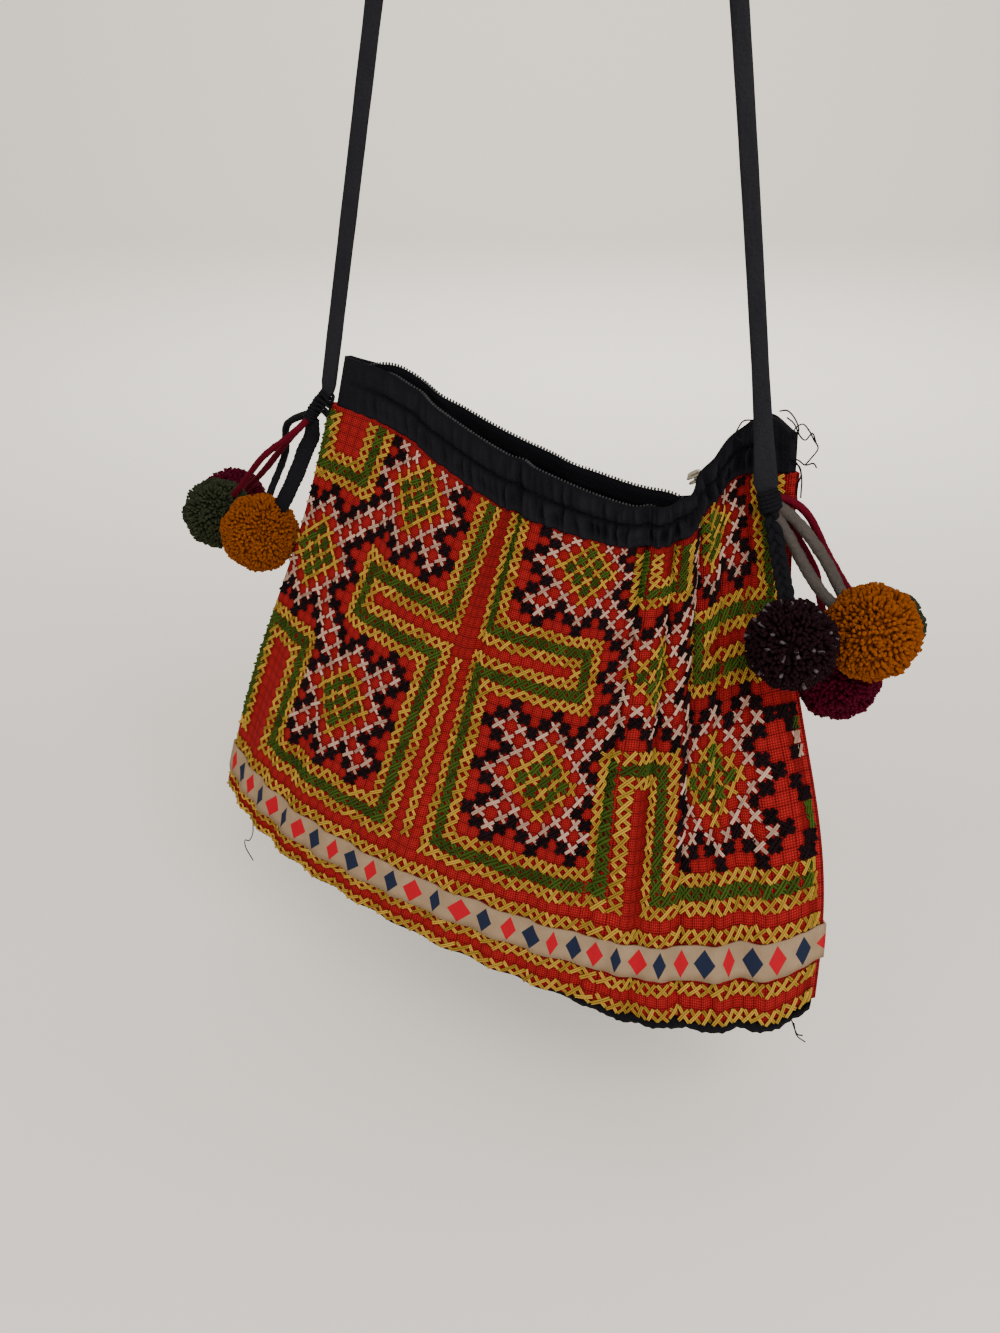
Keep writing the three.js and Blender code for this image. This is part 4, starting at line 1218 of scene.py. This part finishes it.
# Cords: from the ties to the pompoms.
cordRows = {
    "left_crimson_cord_a": {
        "thick": 3.2, "dye": "crimson", "into": "pompom_left_green",
        "route": [(-119.5, -4.5, -9.5), (-124.5, -6, -14.5), (-133, -7, -21.5), (-150, -5, -33.5),
                  (-167, -3, -51)]},
    "left_crimson_cord_b": {
        "thick": 3.2, "dye": "crimson", "into": "pompom_left_maroon",
        "route": [(-119.5, -2.5, -9), (-125, -1, -13.5), (-142.5, 5, -27.5), (-163, 12, -46),
                  (-188, 21, -66)]},
    "left_black_cord": {
        "thick": 3.6, "dye": "black", "into": "pompom_left_mustard",
        "route": [(-119.5, -1.5, -8.5), (-125, 4, -10.5), (-149, 15, -22), (-151, 13.5, -37),
                  (-144, -8, -48)]},
    "left_black_tail": {
        "thick": 5.2, "flat": 1.7, "dye": "black", "into": "pompom_left_mustard", "holds": False,
        "route": [(-119.8, -3, -10.5), (-122, -1, -19.5), (-125, -3.5, -27), (-127, -8, -36),
                  (-131, -15, -49)]},
    "right_braid": {
        "thick": 5.4, "dye": "black", "into": "pompom_right_plum",
        "route": [(100.6, -11.8, -14.5), (102.6, -14, -20), (105.8, -18, -26), (110.2, -25.5, -32),
                  (116.5, -37.5, -38.5)]},
    "right_grey_cord_a": {
        "thick": 4.6, "dye": "grey", "into": "pompom_right_mustard",
        "route": [(101.6, -11.2, -15.5), (109.5, -13.5, -24.5), (116.5, -14.5, -34), (124, -17, -41.5),
                  (130.5, -19, -45.5)]},
    "right_grey_cord_b": {
        "thick": 4.6, "dye": "grey", "into": "pompom_right_mustard", "holds": False,
        "route": [(101, -10.5, -12.5), (108, -10.5, -16.5), (115, -11.3, -22), (124, -12, -32),
                  (132, -15, -42)]},
    "right_crimson_cord_a": {
        "thick": 3.2, "dye": "crimson", "into": "pompom_right_maroon",
        "route": [(101.2, -10, -15), (109, -7.5, -24), (114.5, -5.5, -32), (120, -4, -43), (126.5, -4, -67)]},
    "right_crimson_cord_b": {
        "thick": 3.2, "dye": "crimson", "into": "pompom_right_green",
        "route": [(100.4, -9.5, -10.5), (106.5, -7, -12), (114, -5, -18), (122.5, 2, -36), (131, 18, -57)]},
}
slotOf = {"crimson": "crimson_cord", "grey": "grey_cord", "black": "black_cotton"}
tube = {"steps": 60, "sides": 14, "swell": 0.06, "swellSize": 6, "seed": 60, "wrinkle": 0.04, "into": 0.4}
braid = {"steps": 90, "sides": 9, "strands": 3, "pitch": 16, "aside": 1.75, "above": 0.95, "wide": 1.5,
         "tall": 1.3}


def reaching(row, steps):  # the route, and on a little way into the yarn
    last = np.array(row["route"][-1], float)
    centre = np.array(pompoms[row["into"]]["centre"], float)
    return smoothPath(row["route"] + [tuple(last + (centre - last) * tube["into"])], steps)


def cordTube(name, row, number):  # soft fabric tube, a little uneven along its run
    path = reaching(row, tube["steps"])
    swell = row["thick"] / 2 * (1 + tube["swell"] * waves(path, tube["swellSize"], tube["seed"] + number))
    flat = row.get("flat", 1.0)
    rings = tubeRings(path, swell * flat, swell / flat, tube["sides"])
    far = np.linspace(0, pathLength(path), tube["steps"])[:, None]
    wrinkle = tube["wrinkle"] * np.sin(far * 2.6 + 2 * np.cos(circle(tube["sides"]) + far * 0.2))
    rings = path[:, None] + (rings - path[:, None]) * (1 + wrinkle)[..., None]
    uv = tubeUv(path / weaveSize, tube["sides"])
    return path, loftPiece(name + "_tube", placed(rings), uv, finish[row["dye"]])


def cordBraid(name, row):  # three strands plaited round the route
    path = reaching(row, braid["steps"])
    far = np.linspace(0, pathLength(path), braid["steps"])
    strands = []
    for k in range(braid["strands"]):
        phase = 2 * np.pi * (far / braid["pitch"] + k / braid["strands"])
        line = around(path, braid["aside"] * np.sin(phase), braid["above"] * np.sin(2 * phase))
        rings = tubeRings(line, braid["wide"], braid["tall"], braid["sides"])
        uv = tubeUv(line / weaveSize, braid["sides"])
        strands.append(loftPiece(name + "_strand", placed(rings), uv, finish[row["dye"]]))
    return path, joined(name + "_plait", strands)


for number, (name, row) in enumerate(cordRows.items()):
    path, piece = cordBraid(name, row) if name == "right_braid" else cordTube(name, row, number)
    settle(piece, slotOf[row["dye"]], name)
    steps = placed(np.concatenate([path[::3], path[-1:]]))
    tuple(placed(path[0]))
    pathLength(placed(path))
    print("cord", name, round(pathLength(placed(path)), 4), "m")

# Loose sewing threads at the band's right end, at both lower corners and round the left corner.
loose = {"thread": 0.3, "binding": 0.85, "sides": 6, "perPlace": 12, "slot": "black_cotton"}
looseRoutes = [
    ("thread", [(97, -2, 20), (100, -2, 20.5), (103, -2, 18), (105, -2, 14), (104, -3, 11), (103.5, -2, 14),
                (106, -1, 16), (109, -2, 14), (111, -2, 11), (113, -2, 8), (111, -2, 4), (109, -2, 1)]),
    ("thread", [(100, -2, 18), (103, -2, 16), (106, -3, 12), (108, -2, 10.5), (110, -1, 13), (112, -2, 10)]),
    ("thread", [(103, -2, 2), (106, -2, 2.5), (109, -2, 1), (112, -2, 2), (113.5, -2, 0.5)]),
    ("thread", [(103, -2, 3), (106, -2, 1), (108, -2, -3), (107, -2, -8), (108, -2, -15)]),
    ("thread", [(104, -2, 1), (107, -2, 0), (108.5, -2, -5), (109, -2, -12)]),
    ("thread", [(91, -8, 17), (86, -8, 16.5), (84, -8, 14), (83, -8, 10), (86, -7, 8)]),
    ("thread", [(-134, -60, -207), (-137, -58, -218), (-142, -56, -226), (-146, -55, -228), (-146, -55, -233),
                (-142, -55, -240)]),
    ("thread", [(146, -60, -214), (149, -61, -219), (151.5, -62, -218)]),
    ("thread", [(147, -60, -215), (149, -60, -221), (153, -61, -222)]),
    ("binding", [(-113, -3, 2), (-110, -4.4, 0.5), (-108, -3.4, -2), (-110, 1.4, 0), (-114, 2, 0.5),
                 (-115.5, -3, -0.5), (-111.5, -4.8, -1.5), (-108.5, -3.6, -4), (-111, 1.6, -2),
                 (-115.5, 2, -2), (-116.5, -3.5, -3), (-112, -5, -3.5), (-109, -3.8, -6.5),
                 (-112, 1.6, -4.5), (-117, 1.4, -4.5), (-117.5, -4, -5), (-113, -5, -5.5), (-110, -4, -8.5)]),
]
strands = []
for kind, route in looseRoutes:
    line = smoothPath(route, loose["perPlace"] * len(route))
    strands.append(plainTube("loose_strand", line, loose[kind], loose["sides"], finish["black"]))
settle(joined("loose_threads", strands), loose["slot"])

# Floor and light.
stage = {"floor": -300, "reach": 4000, "back": 3000, "rise": 2600, "bend": 900, "bendSteps": 13,
         "colour": (0.92, 0.87, 0.8)}


def stagePiece():  # a floor that bends up into a wall behind the bag, square to the view
    profile = [(-stage["reach"], 0.0)]
    for turn in np.linspace(0, np.pi / 2, stage["bendSteps"]):
        profile.append((stage["back"] + stage["bend"] * math.sin(turn), stage["bend"] * (1 - math.cos(turn))))
    profile.append((stage["back"] + stage["bend"], stage["rise"]))
    cos, sin = math.cos(math.radians(view["right"])), math.sin(math.radians(view["right"]))
    grid = [[(across * cos - far * sin, across * sin + far * cos, stage["floor"] + up) for far, up in profile]
            for across in (-stage["reach"], stage["reach"])]
    material, skin, _ = shader("plain_floor", 0.9)
    skin.inputs["Base Color"].default_value = rgba(stage["colour"])
    return meshObject("floor", placed(grid), gridFaces(2, len(profile))[:, ::-1], material)


stagePiece()
lights = {
    "key": {"place": (750, -800, 810), "aim": (0, -30, -90), "power": 16, "size": 0.9,
            "tint": (1.0, 0.97, 0.93)},
    "wash": {"place": (-300, 1000, 1200), "aim": (-1500, 3200, -300), "power": 40, "size": 1.0,
             "tint": (1.0, 0.97, 0.92)},
}
for name, one in lights.items():
    lamp = bpy.data.lights.new(name, "AREA")
    lamp.energy = one["power"]
    lamp.size = one["size"]
    lamp.color = one["tint"]
    obj = linked(name, lamp)
    obj.location = placed(one["place"])
    aim = unit(np.array(one["aim"], float) - np.array(one["place"]))
    obj.rotation_euler = (math.acos(-aim[2]), 0, math.atan2(aim[1], aim[0]) - math.pi / 2)
room = {"Color": rgba((1.0, 0.98, 0.95)), "Strength": 0.95}
world = bpy.data.worlds.new("soft_room")
world.use_nodes = True
for key, value in room.items():
    world.node_tree.nodes["Background"].inputs[key].default_value = value
bpy.context.scene.world = world
print("stage done")
